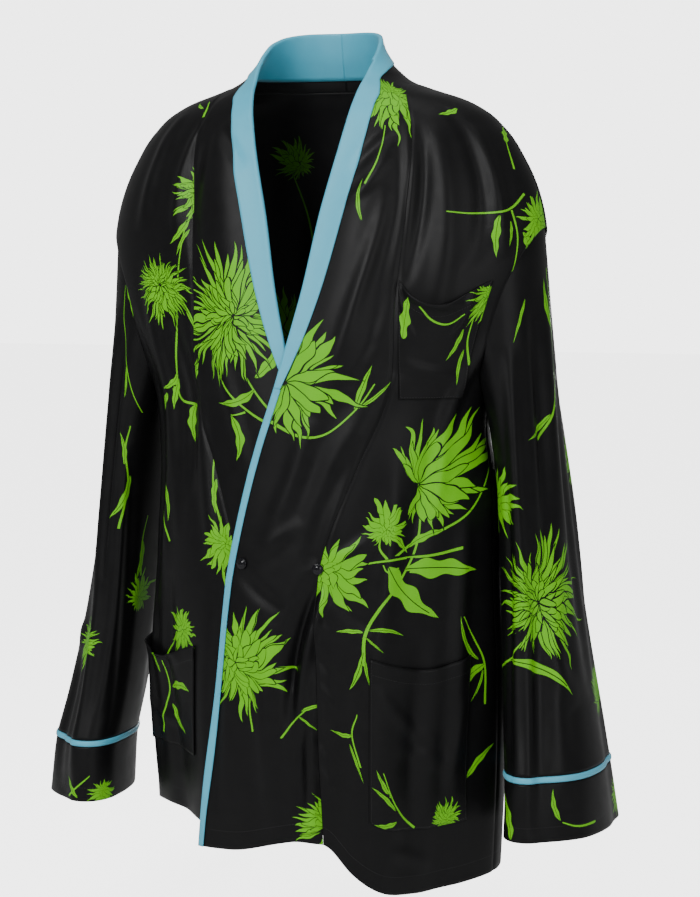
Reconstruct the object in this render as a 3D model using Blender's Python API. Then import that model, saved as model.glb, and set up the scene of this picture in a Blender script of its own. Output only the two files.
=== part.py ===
"""A wrap-front tunic jacket in printed silk: wide front bands, pale blue collar facing and piping,
straight drop-shoulder sleeves with banded cuffs, three patch pockets and two buttons.

It keeps the hollow form it has when worn. Metres, +Z up. The origin is the middle of the neck at the
height of the shoulders, where a figure carries the jacket. +X is the wearer's left and -Y the front.
"""

import math

import bmesh
import bpy
import numpy as np

# Cloth and seams
CLOTH = 0.0016
TRIM_CLOTH = 0.0012
POCKET_CLOTH = 0.0013
SEAM_GAP = 0.0005
LYING_GAP = 0.0006
POCKET_GAP = 0.0009

# Main heights, measured from the shoulders
HEM = -0.840
ARMHOLE_TOP = -0.175
ARMHOLE_BOTTOM = -0.365
NECK_SEAM = -0.0165
ARMHOLE_DEPTH_DEGREES = 28.0
ARMHOLE_STEPS = 10

# The form that the cloth hangs in, one row for each level section
FORM_COLUMNS = ("height", "half_width", "front", "back")
FORM = (
    (-0.840, 0.183, -0.152, 0.122),
    (-0.700, 0.190, -0.150, 0.117),
    (-0.540, 0.191, -0.141, 0.113),
    (-0.430, 0.191, -0.126, 0.115),
    (-0.365, 0.200, -0.117, 0.119),
    (-0.270, 0.245, -0.106, 0.123),
    (-0.175, 0.258, -0.094, 0.121),
    (-0.100, 0.233, -0.082, 0.113),
    (-0.065, 0.209, -0.074, 0.105),
    (-0.045, 0.186, -0.068, 0.098),
    (-0.032, 0.160, -0.062, 0.092),
    (-0.022, 0.129, -0.058, 0.088),
    (-0.0135, 0.106, -0.054, 0.084),
    (0.000, 0.087, -0.050, 0.080),
    (0.020, 0.071, -0.048, 0.074),
    (0.046, 0.063, -0.046, 0.069),
)

# Heights of the rows of points below the armhole and above it
LOWER_ROWS = (HEM, -0.805, -0.770, -0.720, -0.670, -0.615, -0.555, -0.490, -0.425)
SHOULDER_ROWS = (-0.132, -0.092, -0.066, -0.048, -0.035, -0.025, NECK_SEAM)

# Seam between front panel and front band: how far it lies from the centre line
SEAM_COLUMNS = ("height", "sideways")
SEAM = (
    (-0.840, 0.056),
    (-0.680, 0.049),
    (-0.540, 0.050),
    (-0.435, 0.084),
    (-0.360, 0.112),
    (-0.250, 0.119),
    (-0.160, 0.126),
    (-0.050, 0.121),
    (-0.0165, 0.107),
)

# Free edge of the band, for each height of its seam: it crosses the centre line below the neck
EDGE_COLUMNS = ("seam_height", "edge_sideways", "edge_height")
EDGE = (
    (-0.840, -0.087, -0.864),
    (-0.700, -0.071, -0.708),
    (-0.540, -0.052, -0.540),
    (-0.435, -0.029, -0.424),
    (-0.360, -0.006, -0.342),
    (-0.270, 0.017, -0.250),
    (-0.175, 0.034, -0.160),
    (-0.100, 0.052, -0.084),
    (-0.050, 0.063, -0.030),
    (-0.0165, 0.0695, 0.008),
)

# The band carried on round the neck as a standing collar
COLLAR_COLUMNS = ("seam_angle", "edge_angle", "edge_height")
COLLAR = (
    (71.0, 59.0, 0.008),
    (80.0, 74.0, 0.019),
    (90.0, 88.0, 0.029),
    (105.0, 105.0, 0.037),
    (122.0, 122.0, 0.042),
    (141.0, 141.0, 0.045),
    (160.0, 160.0, 0.046),
    (180.0, 180.0, 0.046),
)
COLLAR_FIRST = 76.0
COLLAR_LAST = 179.75
COLLAR_ROWS = 12

# Blue facing: the share of the band that it covers outside and inside, for each height of the edge
FACING_COLUMNS = ("edge_height", "outside", "inside")
FACING = (
    (-0.350, 0.045, 0.12),
    (-0.280, 0.14, 0.26),
    (-0.200, 0.23, 0.36),
    (-0.120, 0.29, 0.44),
    (-0.030, 0.36, 0.58),
    (0.020, 0.48, 0.74),
    (0.046, 0.54, 0.80),
)
FACING_START = 0.04
FACING_END = 0.07
FACING_ACROSS = 3
PIPING_WIDTH = 0.0065
PIPING_ACROSS = 1

# Hem dip: the wearer's left hangs lower than the right
DIP_COLUMNS = ("angle", "dip")
DIP = (
    (-90.0, -0.006),
    (-60.0, -0.014),
    (-38.0, -0.010),
    (-15.0, 0.000),
    (14.0, 0.000),
    (20.0, 0.008),
    (28.0, 0.034),
    (38.0, 0.055),
    (52.0, 0.062),
    (70.0, 0.060),
    (95.0, 0.050),
    (135.0, 0.034),
    (180.0, 0.018),
    (225.0, 0.004),
    (270.0, -0.006),
)
DIP_START = -0.500

# Largest folds of the skirt, one row each: where it lies, how wide and deep, and where it grows
FOLD_COLUMNS = ("angle", "spread", "depth", "start", "full")
FOLDS = (
    (19.0, 5.0, -0.007, -0.500, -0.720),
    (34.0, 8.0, 0.008, -0.480, -0.760),
    (63.0, 9.0, -0.005, -0.600, -0.840),
    (90.0, 10.0, 0.006, -0.480, -0.840),
    (104.0, 26.0, 0.023, -0.375, -0.480),
    (104.0, 22.0, 0.007, -0.540, -0.680),
    (116.0, 9.0, -0.008, -0.520, -0.840),
    (141.0, 11.0, 0.010, -0.430, -0.840),
    (164.0, 8.0, -0.006, -0.560, -0.840),
    (187.0, 10.0, 0.009, -0.400, -0.840),
    (212.0, 9.0, -0.008, -0.500, -0.840),
    (239.0, 11.0, 0.009, -0.450, -0.840),
    (263.0, 8.0, -0.006, -0.580, -0.840),
    (291.0, 9.0, 0.006, -0.500, -0.840),
    (316.0, 8.0, -0.007, -0.540, -0.840),
    (333.0, 6.0, 0.004, -0.480, -0.760),
)

# The left front laps over the right one
LAP_LIFT = 0.0065
LAP_FULL_ANGLE = 31.0
LAP_NONE_ANGLE = 56.0
LAP_TOP = -0.160
LAP_FULL_HEIGHT = -0.330
UNDER_RISE = 0.012

# The bands swell outward over the chest, between these heights
BAND_SWELL = 0.007
SWELL_START = -0.460
SWELL_FULL = -0.300
SWELL_EASE = -0.130
SWELL_END = -0.020

# Sleeves, one row for each level section below the armhole, and the two edges of the cuff
SLEEVE_COLUMNS = ("height", "sideways", "back", "half_long", "half_short", "turn")
SLEEVE = (
    (-0.835, 0.288, -0.008, 0.094, 0.047, 19.0),
    (-0.765, 0.282, -0.004, 0.089, 0.044, 16.0),
    (-0.680, 0.2675, 0.018, 0.086, 0.040, 12.0),
    (-0.580, 0.2555, 0.027, 0.083, 0.036, 6.0),
    (-0.470, 0.242, 0.033, 0.081, 0.034, 2.0),
    (-0.420, 0.235, 0.035, 0.080, 0.034, 0.0),
)
CUFF_BOTTOM = -0.835
CUFF_SEAM = -0.765
CUFF_PIPING_HEIGHT = 0.0070
CUFF_PIPING_BULGE = 0.0014
SLEEVE_LEVEL_TOP = -0.420
SLEEVE_AROUND = 2 * ARMHOLE_STEPS
SLEEVE_LEVEL_ROWS = 8
SLEEVE_CAP_ROWS = 6
SLEEVE_SMOOTHING = 4
CUFF_ROWS = 3

# Folds along the sleeve: where round the ring (0 front, 90 outside), how wide and how deep
SLEEVE_FOLD_COLUMNS = ("angle", "spread", "depth")
SLEEVE_FOLDS = (
    (38.0, 16.0, -0.004),
    (75.0, 18.0, 0.004),
    (128.0, 17.0, -0.005),
    (205.0, 18.0, 0.004),
    (300.0, 20.0, -0.003),
)
SLEEVE_FOLD_FULL = -0.600

# Patch pockets: distances of their sides from the centre line, heights, and how the top droops and gapes
POCKET_COLUMNS = ("name", "side", "near", "far_low", "far_high", "bottom", "top", "droop", "gape")
POCKETS = (
    ("pocket_chest", 1, 0.123, 0.180, 0.216, -0.360, -0.232, 0.026, 0.010),
    ("pocket_hip_left", 1, 0.102, 0.181, 0.185, -0.774, -0.624, 0.008, 0.003),
    ("pocket_hip_right", -1, 0.102, 0.181, 0.185, -0.768, -0.640, 0.022, 0.009),
)
POCKET_ROWS = 7
POCKET_EDGE = 0.1
POCKET_SLACK_POWER = 1.5
POCKET_GAPE_POWER = 3

# Buttons: distance from the centre line towards the wearer's left, and height
BUTTONS = (("button_edge", -0.0375, -0.540), ("button_seam", 0.048, -0.542))
BUTTON_SEGMENTS = 20
BUTTON_SEAT = 0.0006
BUTTON_PATCH_DEGREES = 2.0
BUTTON_PATCH_HEIGHT = 0.005

# Half section of a button, from the middle of its flat back to the top of its dome
BUTTON_PROFILE_COLUMNS = ("radius", "rise")
BUTTON_PROFILE = (
    (0.0, 0.0),
    (0.0053, 0.0),
    (0.0062, 0.0007),
    (0.0062, 0.0016),
    (0.0045, 0.0029),
    (0.0, 0.0036),
)

# Columns of points across each panel, and steps in the turn of a folded edge
BAND_ACROSS = 7
FRONT_ACROSS = 9
BACK_ACROSS = 22
EDGE_SHARE = 0.012
ROUND_STEPS = 4

# Colours and roughness
SILK_BLACK = (0.006, 0.006, 0.008)
SILK_ROUGHNESS = 0.42
TRIM_BLUE = (0.115, 0.345, 0.430)
TRIM_ROUGHNESS = 0.50
BUTTON_BLACK = (0.004, 0.004, 0.005)
BUTTON_ROUGHNESS = 0.15


def clear_scene():
    for obj in list(bpy.data.objects):
        bpy.data.objects.remove(obj, do_unlink=True)


def column(table, names, name):
    return np.array([row[names.index(name)] for row in table], dtype=float)


def smooth_read(table, names, key, name, at):
    """The column of a table at any key, on a smooth curve through its rows."""
    knots = column(table, names, key)
    values = column(table, names, name)
    slopes = np.gradient(values, knots)
    at = np.clip(np.asarray(at, dtype=float), knots[0], knots[-1])
    row = np.clip(np.searchsorted(knots, at, side="right") - 1, 0, len(knots) - 2)
    width = knots[row + 1] - knots[row]
    t = (at - knots[row]) / width
    rise = (3 - 2 * t) * t * t
    start_bend = t * (1 - t) ** 2 * width * slopes[row]
    end_bend = t * t * (t - 1) * width * slopes[row + 1]
    return values[row] + (values[row + 1] - values[row]) * rise + start_bend + end_bend


def form(name, height):
    return smooth_read(FORM, FORM_COLUMNS, "height", name, height)


def ease(start, end, value):
    """0 at start, 1 at end, smooth between them."""
    t = np.clip((np.asarray(value, dtype=float) - start) / (end - start), 0.0, 1.0)
    return t * t * (3 - 2 * t)


def turn_between(angle, centre):
    return (np.asarray(angle, dtype=float) - centre + 180.0) % 360.0 - 180.0


def fold_depth(angle, height):
    depth = np.zeros(np.broadcast(angle, height).shape)
    for centre, spread, size, start, full in FOLDS:
        across = np.exp(-((turn_between(angle, centre) / spread) ** 2))
        depth = depth + size * across * ease(start, full, height)
    return depth


def hem_dip(angle, height):
    around = (np.asarray(angle, dtype=float) + 90.0) % 360.0 - 90.0
    dip = smooth_read(DIP, DIP_COLUMNS, "angle", "dip", around)
    return dip * ease(DIP_START, HEM, height)


def form_point(angle, height, lift=0.0):
    """A point of the worn form: the angle runs from the front (0) to the wearer's left (90) and round."""
    angle, height = np.broadcast_arrays(np.asarray(angle, dtype=float), np.asarray(height, dtype=float))
    half_width = form("half_width", height)
    middle = (form("front", height) + form("back", height)) / 2
    half_depth = (form("back", height) - form("front", height)) / 2
    turn = np.radians(angle)
    out_x = np.sin(turn) / half_width
    out_y = -np.cos(turn) / half_depth
    length = np.hypot(out_x, out_y)
    push = (lift + fold_depth(angle, height)) / length
    x = half_width * np.sin(turn) + out_x * push
    y = middle - half_depth * np.cos(turn) + out_y * push
    return np.stack([x, y, height - hem_dip(angle, height)], axis=-1)


def angle_at(sideways, height):
    """The angle on the form's front half at a distance from the centre line."""
    return np.degrees(np.arcsin(np.clip(sideways / form("half_width", height), -1.0, 1.0)))


def lap_lift(side, angle, height):
    if side < 0:
        return np.zeros(np.broadcast(angle, height).shape)
    across = ease(LAP_NONE_ANGLE, LAP_FULL_ANGLE, angle)
    return LAP_LIFT * across * ease(LAP_TOP, LAP_FULL_HEIGHT, height)


def outward(grid):
    """Unit normals of a grid of points whose rows go up and whose columns go round."""
    along = np.gradient(grid, axis=1)
    up = np.gradient(grid, axis=0)
    normal = np.cross(along, up)
    return normal / np.linalg.norm(normal, axis=-1, keepdims=True)


def armhole_heights():
    middle = (ARMHOLE_TOP + ARMHOLE_BOTTOM) / 2
    half = (ARMHOLE_TOP - ARMHOLE_BOTTOM) / 2
    steps = np.linspace(math.pi, 0.0, ARMHOLE_STEPS + 1)
    return middle + half * np.cos(steps)


def panel_heights():
    return np.concatenate([LOWER_ROWS, armhole_heights(), SHOULDER_ROWS])


def armhole_cut(height):
    """How far the armhole bites into a panel from the side, in degrees."""
    middle = (ARMHOLE_TOP + ARMHOLE_BOTTOM) / 2
    half = (ARMHOLE_TOP - ARMHOLE_BOTTOM) / 2
    inside = np.clip(1.0 - ((np.asarray(height) - middle) / half) ** 2, 0.0, 1.0)
    return ARMHOLE_DEPTH_DEGREES * np.sqrt(inside)


def gap_angle(height):
    """Half a seam gap across the front, in degrees round the form."""
    return np.degrees(SEAM_GAP / 2 / form("half_width", height))


def side_gap_angle(height):
    """Half a seam gap at the side, where a degree is shorter, in degrees round the form."""
    return np.degrees(SEAM_GAP / (form("back", height) - form("front", height)))


def panel_shares(count):
    """Even columns with a narrow one at each edge, so that the edges stand square to the form."""
    even = np.linspace(0.0, 1.0, count + 1)
    return np.concatenate([[0.0, EDGE_SHARE], even[1:-1], [1.0 - EDGE_SHARE, 1.0]])[None, :]


def seam_angle(height):
    return angle_at(smooth_read(SEAM, SEAM_COLUMNS, "height", "sideways", height), height)


def front_angles(height):
    """The angles at a front panel's band seam, and at its side seam, armhole or shoulder."""
    near = seam_angle(height) + gap_angle(height)
    far = 90.0 - armhole_cut(height) - side_gap_angle(height)
    return near, far


def front_grid(side):
    """The points of a front panel, in rows from the hem up and columns from the band seam to the side."""
    height = panel_heights()[:, None]
    near, far = front_angles(height)
    angle = near + (far - near) * panel_shares(FRONT_ACROSS)
    return form_point(side * angle, height, lap_lift(side, angle, height))


def add_object(name, mesh, colour, roughness):
    material = bpy.data.materials.new(name)
    material.use_nodes = True
    shader = material.node_tree.nodes["Principled BSDF"]
    shader.inputs["Base Color"].default_value = (*colour, 1.0)
    shader.inputs["Roughness"].default_value = roughness
    shader.inputs["Metallic"].default_value = 0.0
    mesh.materials.append(material)
    mesh.shade_smooth()
    obj = bpy.data.objects.new(name, mesh)
    bpy.context.scene.collection.objects.link(obj)
    return obj


def cloth_wall(name, side, grid, thickness, colour, roughness=SILK_ROUGHNESS, ring=False):
    """A wall of cloth: the grid is its outer face, and the thickness goes in from there.

    The first corner of a face is the one nearer the back, so that both sides of the body facet alike.
    """
    sheet = bmesh.new()
    rows = [[sheet.verts.new(point) for point in row] for row in grid]
    columns = len(rows[0])
    for low, high in zip(rows, rows[1:]):
        for near in range(columns if ring else columns - 1):
            far = (near + 1) % columns
            if side > 0:
                sheet.faces.new((low[far], high[far], high[near], low[near]))
            else:
                sheet.faces.new((low[near], low[far], high[far], high[near]))
    mesh = bpy.data.meshes.new(name)
    sheet.to_mesh(mesh)
    sheet.free()
    obj = add_object(name, mesh, colour, roughness)
    solidify = obj.modifiers.new("cloth", "SOLIDIFY")
    solidify.thickness = thickness
    solidify.offset = -1.0
    return obj


def columns_round(side, grid):
    """Columns always run the same way round the body, so the wearer's right is turned about."""
    return grid if side > 0 else grid[:, ::-1]


def make_front(name, side):
    cloth_wall(name, side, columns_round(side, front_grid(side)), CLOTH, SILK_BLACK)


def make_back():
    heights = panel_heights()[:, None]
    shares = panel_shares(BACK_ACROSS)
    first = 90.0 + armhole_cut(heights) + side_gap_angle(heights)
    angles = first + (360.0 - 2 * first) * shares
    cloth_wall("back", 1, form_point(angles, heights), CLOTH, SILK_BLACK)


def band_rows(side):
    """Angles and heights of the band's edge and seam, in rows up the front and round the neck."""
    heights = panel_heights()
    edge_heights = smooth_read(EDGE, EDGE_COLUMNS, "seam_height", "edge_height", heights)
    if side < 0:
        edge_heights = np.maximum(edge_heights, heights + UNDER_RISE * ease(DIP_START, HEM, heights))
    edge_sideways = smooth_read(EDGE, EDGE_COLUMNS, "seam_height", "edge_sideways", heights)
    collar_seam = np.linspace(COLLAR_FIRST, COLLAR_LAST, COLLAR_ROWS)
    lowest_collar = np.full(COLLAR_ROWS, NECK_SEAM + SEAM_GAP)
    collar_angle = smooth_read(COLLAR, COLLAR_COLUMNS, "seam_angle", "edge_angle", collar_seam)
    collar_height = smooth_read(COLLAR, COLLAR_COLUMNS, "seam_angle", "edge_height", collar_seam)
    return {
        "seam_angle": np.concatenate([seam_angle(heights) - gap_angle(heights), collar_seam]),
        "seam_height": np.concatenate([heights[:-1], [NECK_SEAM + SEAM_GAP], lowest_collar]),
        "edge_angle": np.concatenate([angle_at(edge_sideways, edge_heights), collar_angle]),
        "edge_height": np.concatenate([edge_heights, collar_height]),
    }


def band_grid(side):
    """The points of a front band, in rows from the hem up and columns from its free edge to its seam."""
    read = {name: values[:, None] for name, values in band_rows(side).items()}
    share = np.linspace(0.0, 1.0, BAND_ACROSS + 1)[None, :]
    angle = read["edge_angle"] + (read["seam_angle"] - read["edge_angle"]) * share
    height = read["edge_height"] + (read["seam_height"] - read["edge_height"]) * share
    chest = ease(SWELL_START, SWELL_FULL, height) * ease(SWELL_END, SWELL_EASE, height)
    swell = BAND_SWELL * np.sin(np.pi * share) ** 2 * chest
    return form_point(side * angle, height, lap_lift(side, angle, height) + swell)


def make_band(name, side):
    cloth_wall(name, side, columns_round(side, band_grid(side)), CLOTH, SILK_BLACK)


def on_grid(grid, row, across):
    """A point on the facets between a grid's points, by its place in rows and columns."""
    row, across = np.broadcast_arrays(row, across)
    low = np.clip(np.floor(row).astype(int), 0, grid.shape[0] - 2)
    near = np.clip(np.floor(across).astype(int), 0, grid.shape[1] - 2)
    up = (row - low)[..., None]
    along = (across - near)[..., None]
    bottom = grid[low, near] * (1 - along) + grid[low, near + 1] * along
    top = grid[low + 1, near] * (1 - along) + grid[low + 1, near + 1] * along
    return bottom * (1 - up) + top * up


def edge_trim(name, side, rows, outside, inside, across):
    """Blue cloth folded over the band's free edge: a leaf inside, a round turn and a leaf outside."""
    reach = LYING_GAP + TRIM_CLOTH
    leaf = np.linspace(0.0, 1.0, across + 1)[None, :]
    grid = band_grid(side)
    outer_place = outside[:, None] * leaf * BAND_ACROSS
    inner_place = inside[:, None] * leaf * BAND_ACROSS
    outer_base = columns_round(side, on_grid(grid, rows[:, None], outer_place))
    inner_base = columns_round(side, on_grid(grid, rows[:, None], inner_place))
    outer_normal = outward(outer_base)
    outer_leaf = outer_base + reach * outer_normal
    inner_leaf = inner_base - (CLOTH + reach) * outward(inner_base)
    if side < 0:
        outer_base, outer_normal = outer_base[:, ::-1], outer_normal[:, ::-1]
        outer_leaf, inner_leaf = outer_leaf[:, ::-1], inner_leaf[:, ::-1]
    edge = outer_base[:, 0]
    normal = outer_normal[:, 0]
    away = edge - outer_base[:, 1]
    away -= normal * np.sum(away * normal, axis=-1, keepdims=True)
    away /= np.linalg.norm(away, axis=-1, keepdims=True)
    radius = CLOTH / 2 + reach
    middle = edge - normal * CLOTH / 2
    turn = []
    for step in range(ROUND_STEPS + 1):
        tilt = math.pi * (step / ROUND_STEPS - 0.5)
        turn.append(middle + radius * (math.sin(tilt) * normal + math.cos(tilt) * away))
    round_edge = np.stack(turn, axis=1)
    grid = np.concatenate([inner_leaf[:, :0:-1], round_edge, outer_leaf[:, 1:]], axis=1)
    cloth_wall(name, side, columns_round(side, grid), TRIM_CLOTH, TRIM_BLUE, TRIM_ROUGHNESS)


def trim_split(side):
    """The row of the band where the collar facing ends and the front piping begins."""
    edge_height = band_rows(side)["edge_height"]
    return int(np.searchsorted(edge_height, column(FACING, FACING_COLUMNS, "edge_height")[0]))


def make_facing(name, side):
    table = band_rows(side)
    first = trim_split(side)
    rows = np.arange(first, len(table["edge_height"])).astype(float)
    rows[0] += FACING_START
    rows[-1] -= FACING_END
    heights = np.interp(rows, np.arange(len(table["edge_height"])), table["edge_height"])
    outside = smooth_read(FACING, FACING_COLUMNS, "edge_height", "outside", heights)
    inside = smooth_read(FACING, FACING_COLUMNS, "edge_height", "inside", heights)
    edge_trim(name, side, rows, outside, inside, FACING_ACROSS)


def make_piping(name, side):
    rows = np.arange(trim_split(side) + 1)
    grid = band_grid(side)[rows]
    share = PIPING_WIDTH / np.linalg.norm(grid[:, -1] - grid[:, 0], axis=-1)
    edge_trim(name, side, rows.astype(float), share, share, PIPING_ACROSS)


def sleeve(name, height):
    return smooth_read(SLEEVE, SLEEVE_COLUMNS, "height", name, height)


def sleeve_level(side, around, height, lift=0.0):
    """A point of a level section of a sleeve: around is 0 at the front and 90 on the outside."""
    folds = np.zeros(np.broadcast(around, height).shape)
    for centre, spread, size in SLEEVE_FOLDS:
        folds = folds + size * np.exp(-((turn_between(around, centre) / spread) ** 2))
    fold = folds * ease(SLEEVE_LEVEL_TOP, SLEEVE_FOLD_FULL, height) + lift
    turn = np.radians(around)
    long_way = (sleeve("half_long", height) + fold) * np.cos(turn)
    short_way = (sleeve("half_short", height) + fold) * np.sin(turn)
    lean = np.radians(sleeve("turn", height))
    x = sleeve("sideways", height) + short_way * np.cos(lean) - long_way * np.sin(lean)
    y = sleeve("back", height) - short_way * np.sin(lean) - long_way * np.cos(lean)
    return np.stack([side * x, y, np.broadcast_to(height, x.shape)], axis=-1)


def armhole_ring(side, around):
    """The edge of the armhole, set off from the panels by the seam gap."""
    middle = (ARMHOLE_TOP + ARMHOLE_BOTTOM) / 2
    half = (ARMHOLE_TOP - ARMHOLE_BOTTOM) / 2
    turn = np.radians(around)
    angle = 90.0 - ARMHOLE_DEPTH_DEGREES * np.cos(turn)
    height = middle + half * np.sin(turn)
    return form_point(side * angle, height, SEAM_GAP) + (side * SEAM_GAP / 2, 0.0, -SEAM_GAP)


def ring_angles():
    return np.linspace(0.0, 360.0, SLEEVE_AROUND, endpoint=False)


def smooth_rows(grid):
    """Evens out the bend between rows, and leaves the first two rows and the last one where they are."""
    for _ in range(SLEEVE_SMOOTHING):
        middle = (grid[1:-3] + 2 * grid[2:-2] + grid[3:-1]) / 4
        grid = np.concatenate([grid[:2], middle, grid[-2:]])
    return grid


def make_sleeve(name, side):
    around = ring_angles()
    heights = np.linspace(CUFF_SEAM, SLEEVE_LEVEL_TOP, SLEEVE_LEVEL_ROWS + 1)
    level = sleeve_level(side, around[None, :], heights[:, None])
    top = armhole_ring(side, around)
    shares = np.linspace(0.0, 1.0, SLEEVE_CAP_ROWS + 1)[1:, None, None]
    cap = level[-1] + (top - level[-1]) * shares
    grid = smooth_rows(np.concatenate([level, cap]))
    cloth_wall(name, side, columns_round(side, grid), CLOTH, SILK_BLACK, ring=True)


def make_cuff(name, side):
    around = ring_angles()[None, :]
    top = CUFF_SEAM - CUFF_PIPING_HEIGHT
    heights = np.linspace(CUFF_BOTTOM, top, CUFF_ROWS + 1)[:, None]
    grid = columns_round(side, sleeve_level(side, around, heights))
    cloth_wall(name, side, grid, CLOTH, SILK_BLACK, ring=True)


def make_cuff_piping(name, side):
    around = ring_angles()[None, :]
    low = CUFF_SEAM - CUFF_PIPING_HEIGHT + SEAM_GAP
    high = CUFF_SEAM - SEAM_GAP
    heights = np.array([low, (low + high) / 2, high])[:, None]
    bulge = np.array([0.0, CUFF_PIPING_BULGE, 0.0])[:, None]
    grid = sleeve_level(side, around, heights, bulge)
    cloth_wall(name, side, columns_round(side, grid), CLOTH, TRIM_BLUE, TRIM_ROUGHNESS, ring=True)


def pocket_places(near, far_low, far_high, bottom, top, droop):
    """Rows and columns of a pocket's points on its panel: the panel's own columns, and the pocket's sides."""
    up = np.linspace(0.0, 1.0, POCKET_ROWS + 1)
    shares = panel_shares(FRONT_ACROSS)[0]

    def side_places(sideways, heights):
        panel_near, panel_far = front_angles(heights)
        share = (angle_at(sideways, heights) - panel_near) / (panel_far - panel_near)
        return np.interp(share, shares, np.arange(len(shares)))

    side_heights = bottom + (top - bottom) * up
    first = side_places(near, side_heights)
    last = side_places(far_low + (far_high - far_low) * up, side_heights)
    inner = np.arange(math.ceil(first.max() + POCKET_EDGE), math.floor(last.min() - POCKET_EDGE) + 1)
    places = np.column_stack([first, np.tile(inner, (len(up), 1)), last])
    across = (places - places[:, :1]) / (places[:, -1:] - places[:, :1])
    slack = np.sin(np.pi * across) ** POCKET_SLACK_POWER
    heights = bottom + (top - droop * slack - bottom) * up[:, None]
    rows = np.interp(heights, panel_heights(), np.arange(len(panel_heights())))
    return rows, places, slack * up[:, None] ** POCKET_GAPE_POWER


def make_pocket(name, side, near, far_low, far_high, bottom, top, droop, gape):
    """A patch moved out from its panel's points; the middle of its open top sinks and stands off."""
    rows, places, loose = pocket_places(near, far_low, far_high, bottom, top, droop)
    base = columns_round(side, on_grid(front_grid(side), rows, places))
    stand_off = POCKET_GAP + POCKET_CLOTH + gape * columns_round(side, loose)
    cloth_wall(name, side, base + outward(base) * stand_off[..., None], POCKET_CLOTH, SILK_BLACK)


def make_button(name, sideways, height):
    """A small domed button seated on the left front, its axis square to the cloth."""
    angle = angle_at(sideways, height)
    steps = np.array([-1.0, 0.0, 1.0])
    patch_angles, patch_heights = np.meshgrid(
        angle + BUTTON_PATCH_DEGREES * steps, height + BUTTON_PATCH_HEIGHT * steps
    )
    patch = form_point(patch_angles, patch_heights, lap_lift(1, patch_angles, patch_heights))
    axis = outward(patch)[1, 1]
    seat = patch[1, 1] + axis * BUTTON_SEAT
    side_way = np.cross((0.0, 0.0, 1.0), axis)
    side_way /= np.linalg.norm(side_way)
    turned = bmesh.new()
    points = [turned.verts.new(seat + side_way * radius + axis * rise) for radius, rise in BUTTON_PROFILE]
    edges = [turned.edges.new(pair) for pair in zip(points, points[1:])]
    bmesh.ops.spin(
        turned,
        geom=points + edges,
        cent=seat,
        axis=axis,
        angle=math.tau,
        steps=BUTTON_SEGMENTS,
        use_merge=True,
    )
    bmesh.ops.remove_doubles(turned, verts=turned.verts, dist=1e-6)
    bmesh.ops.recalc_face_normals(turned, faces=turned.faces)
    mesh = bpy.data.meshes.new(name)
    turned.to_mesh(mesh)
    turned.free()
    add_object(name, mesh, BUTTON_BLACK, BUTTON_ROUGHNESS)


def main():
    clear_scene()
    make_back()
    for word, side in (("left", 1), ("right", -1)):
        make_front(f"front_{word}", side)
        make_band(f"band_{word}", side)
        make_facing(f"facing_{word}", side)
        make_sleeve(f"sleeve_{word}", side)
        make_cuff(f"cuff_{word}", side)
        make_cuff_piping(f"cuff_piping_{word}", side)
    make_piping("piping_left", 1)
    for pocket in POCKETS:
        make_pocket(*pocket)
    for button in BUTTONS:
        make_button(*button)


main()
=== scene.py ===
"""Looks of a wrap-front tunic jacket in printed silk, worn hollow: fine cloth shells on the form of its
solids, with listed creases, a drawn flower and leaf print, pale blue trims, sewing and buttons.

Metres, +Z up. +X is the wearer's left and -Y the front. Angles round the body run from the front (0)
over the wearer's left (90) to the back (180).
"""

import math

import bmesh
import bpy
import numpy as np
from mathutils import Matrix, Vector


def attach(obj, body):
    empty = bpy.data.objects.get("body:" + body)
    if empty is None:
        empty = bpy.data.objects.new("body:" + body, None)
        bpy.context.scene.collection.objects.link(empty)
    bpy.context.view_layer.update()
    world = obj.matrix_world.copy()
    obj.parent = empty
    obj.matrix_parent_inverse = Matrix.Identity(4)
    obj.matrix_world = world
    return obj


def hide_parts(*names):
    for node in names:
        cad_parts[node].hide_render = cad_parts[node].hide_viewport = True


# Cloth as in the solids, with closer seams
CLOTH = 0.0016
TRIM_CLOTH = 0.0012
POCKET_CLOTH = 0.0013
SEAM_GAP = 0.0001
LYING_GAP = 0.0006
POCKET_GAP = 0.0009

# Main heights, measured from the shoulders
HEM = -0.840
ARMHOLE_TOP = -0.175
ARMHOLE_BOTTOM = -0.365
ARMHOLE_MIDDLE = (ARMHOLE_TOP + ARMHOLE_BOTTOM) / 2
ARMHOLE_HALF = (ARMHOLE_TOP - ARMHOLE_BOTTOM) / 2
NECK_SEAM = -0.0165
ARMHOLE_DEPTH_DEGREES = 28.0

# The form that the cloth hangs in, one row for each level section
FORM_COLUMNS = ("height", "half_width", "front", "back")
FORM = (
    (-0.840, 0.183, -0.152, 0.122),
    (-0.700, 0.190, -0.150, 0.117),
    (-0.540, 0.191, -0.141, 0.113),
    (-0.430, 0.191, -0.126, 0.115),
    (-0.365, 0.200, -0.117, 0.119),
    (-0.270, 0.245, -0.106, 0.123),
    (-0.175, 0.258, -0.094, 0.121),
    (-0.100, 0.233, -0.082, 0.113),
    (-0.065, 0.209, -0.074, 0.105),
    (-0.045, 0.186, -0.068, 0.098),
    (-0.032, 0.160, -0.062, 0.092),
    (-0.022, 0.129, -0.058, 0.088),
    (-0.0135, 0.106, -0.054, 0.084),
    (0.000, 0.087, -0.050, 0.080),
    (0.020, 0.071, -0.048, 0.074),
    (0.046, 0.063, -0.046, 0.069),
)

# Seam between front panel and front band: how far it lies from the centre line
SEAM_COLUMNS = ("height", "sideways")
SEAM = (
    (-0.840, 0.056),
    (-0.680, 0.049),
    (-0.540, 0.050),
    (-0.435, 0.084),
    (-0.360, 0.112),
    (-0.250, 0.119),
    (-0.160, 0.126),
    (-0.050, 0.121),
    (-0.0165, 0.107),
)

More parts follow.
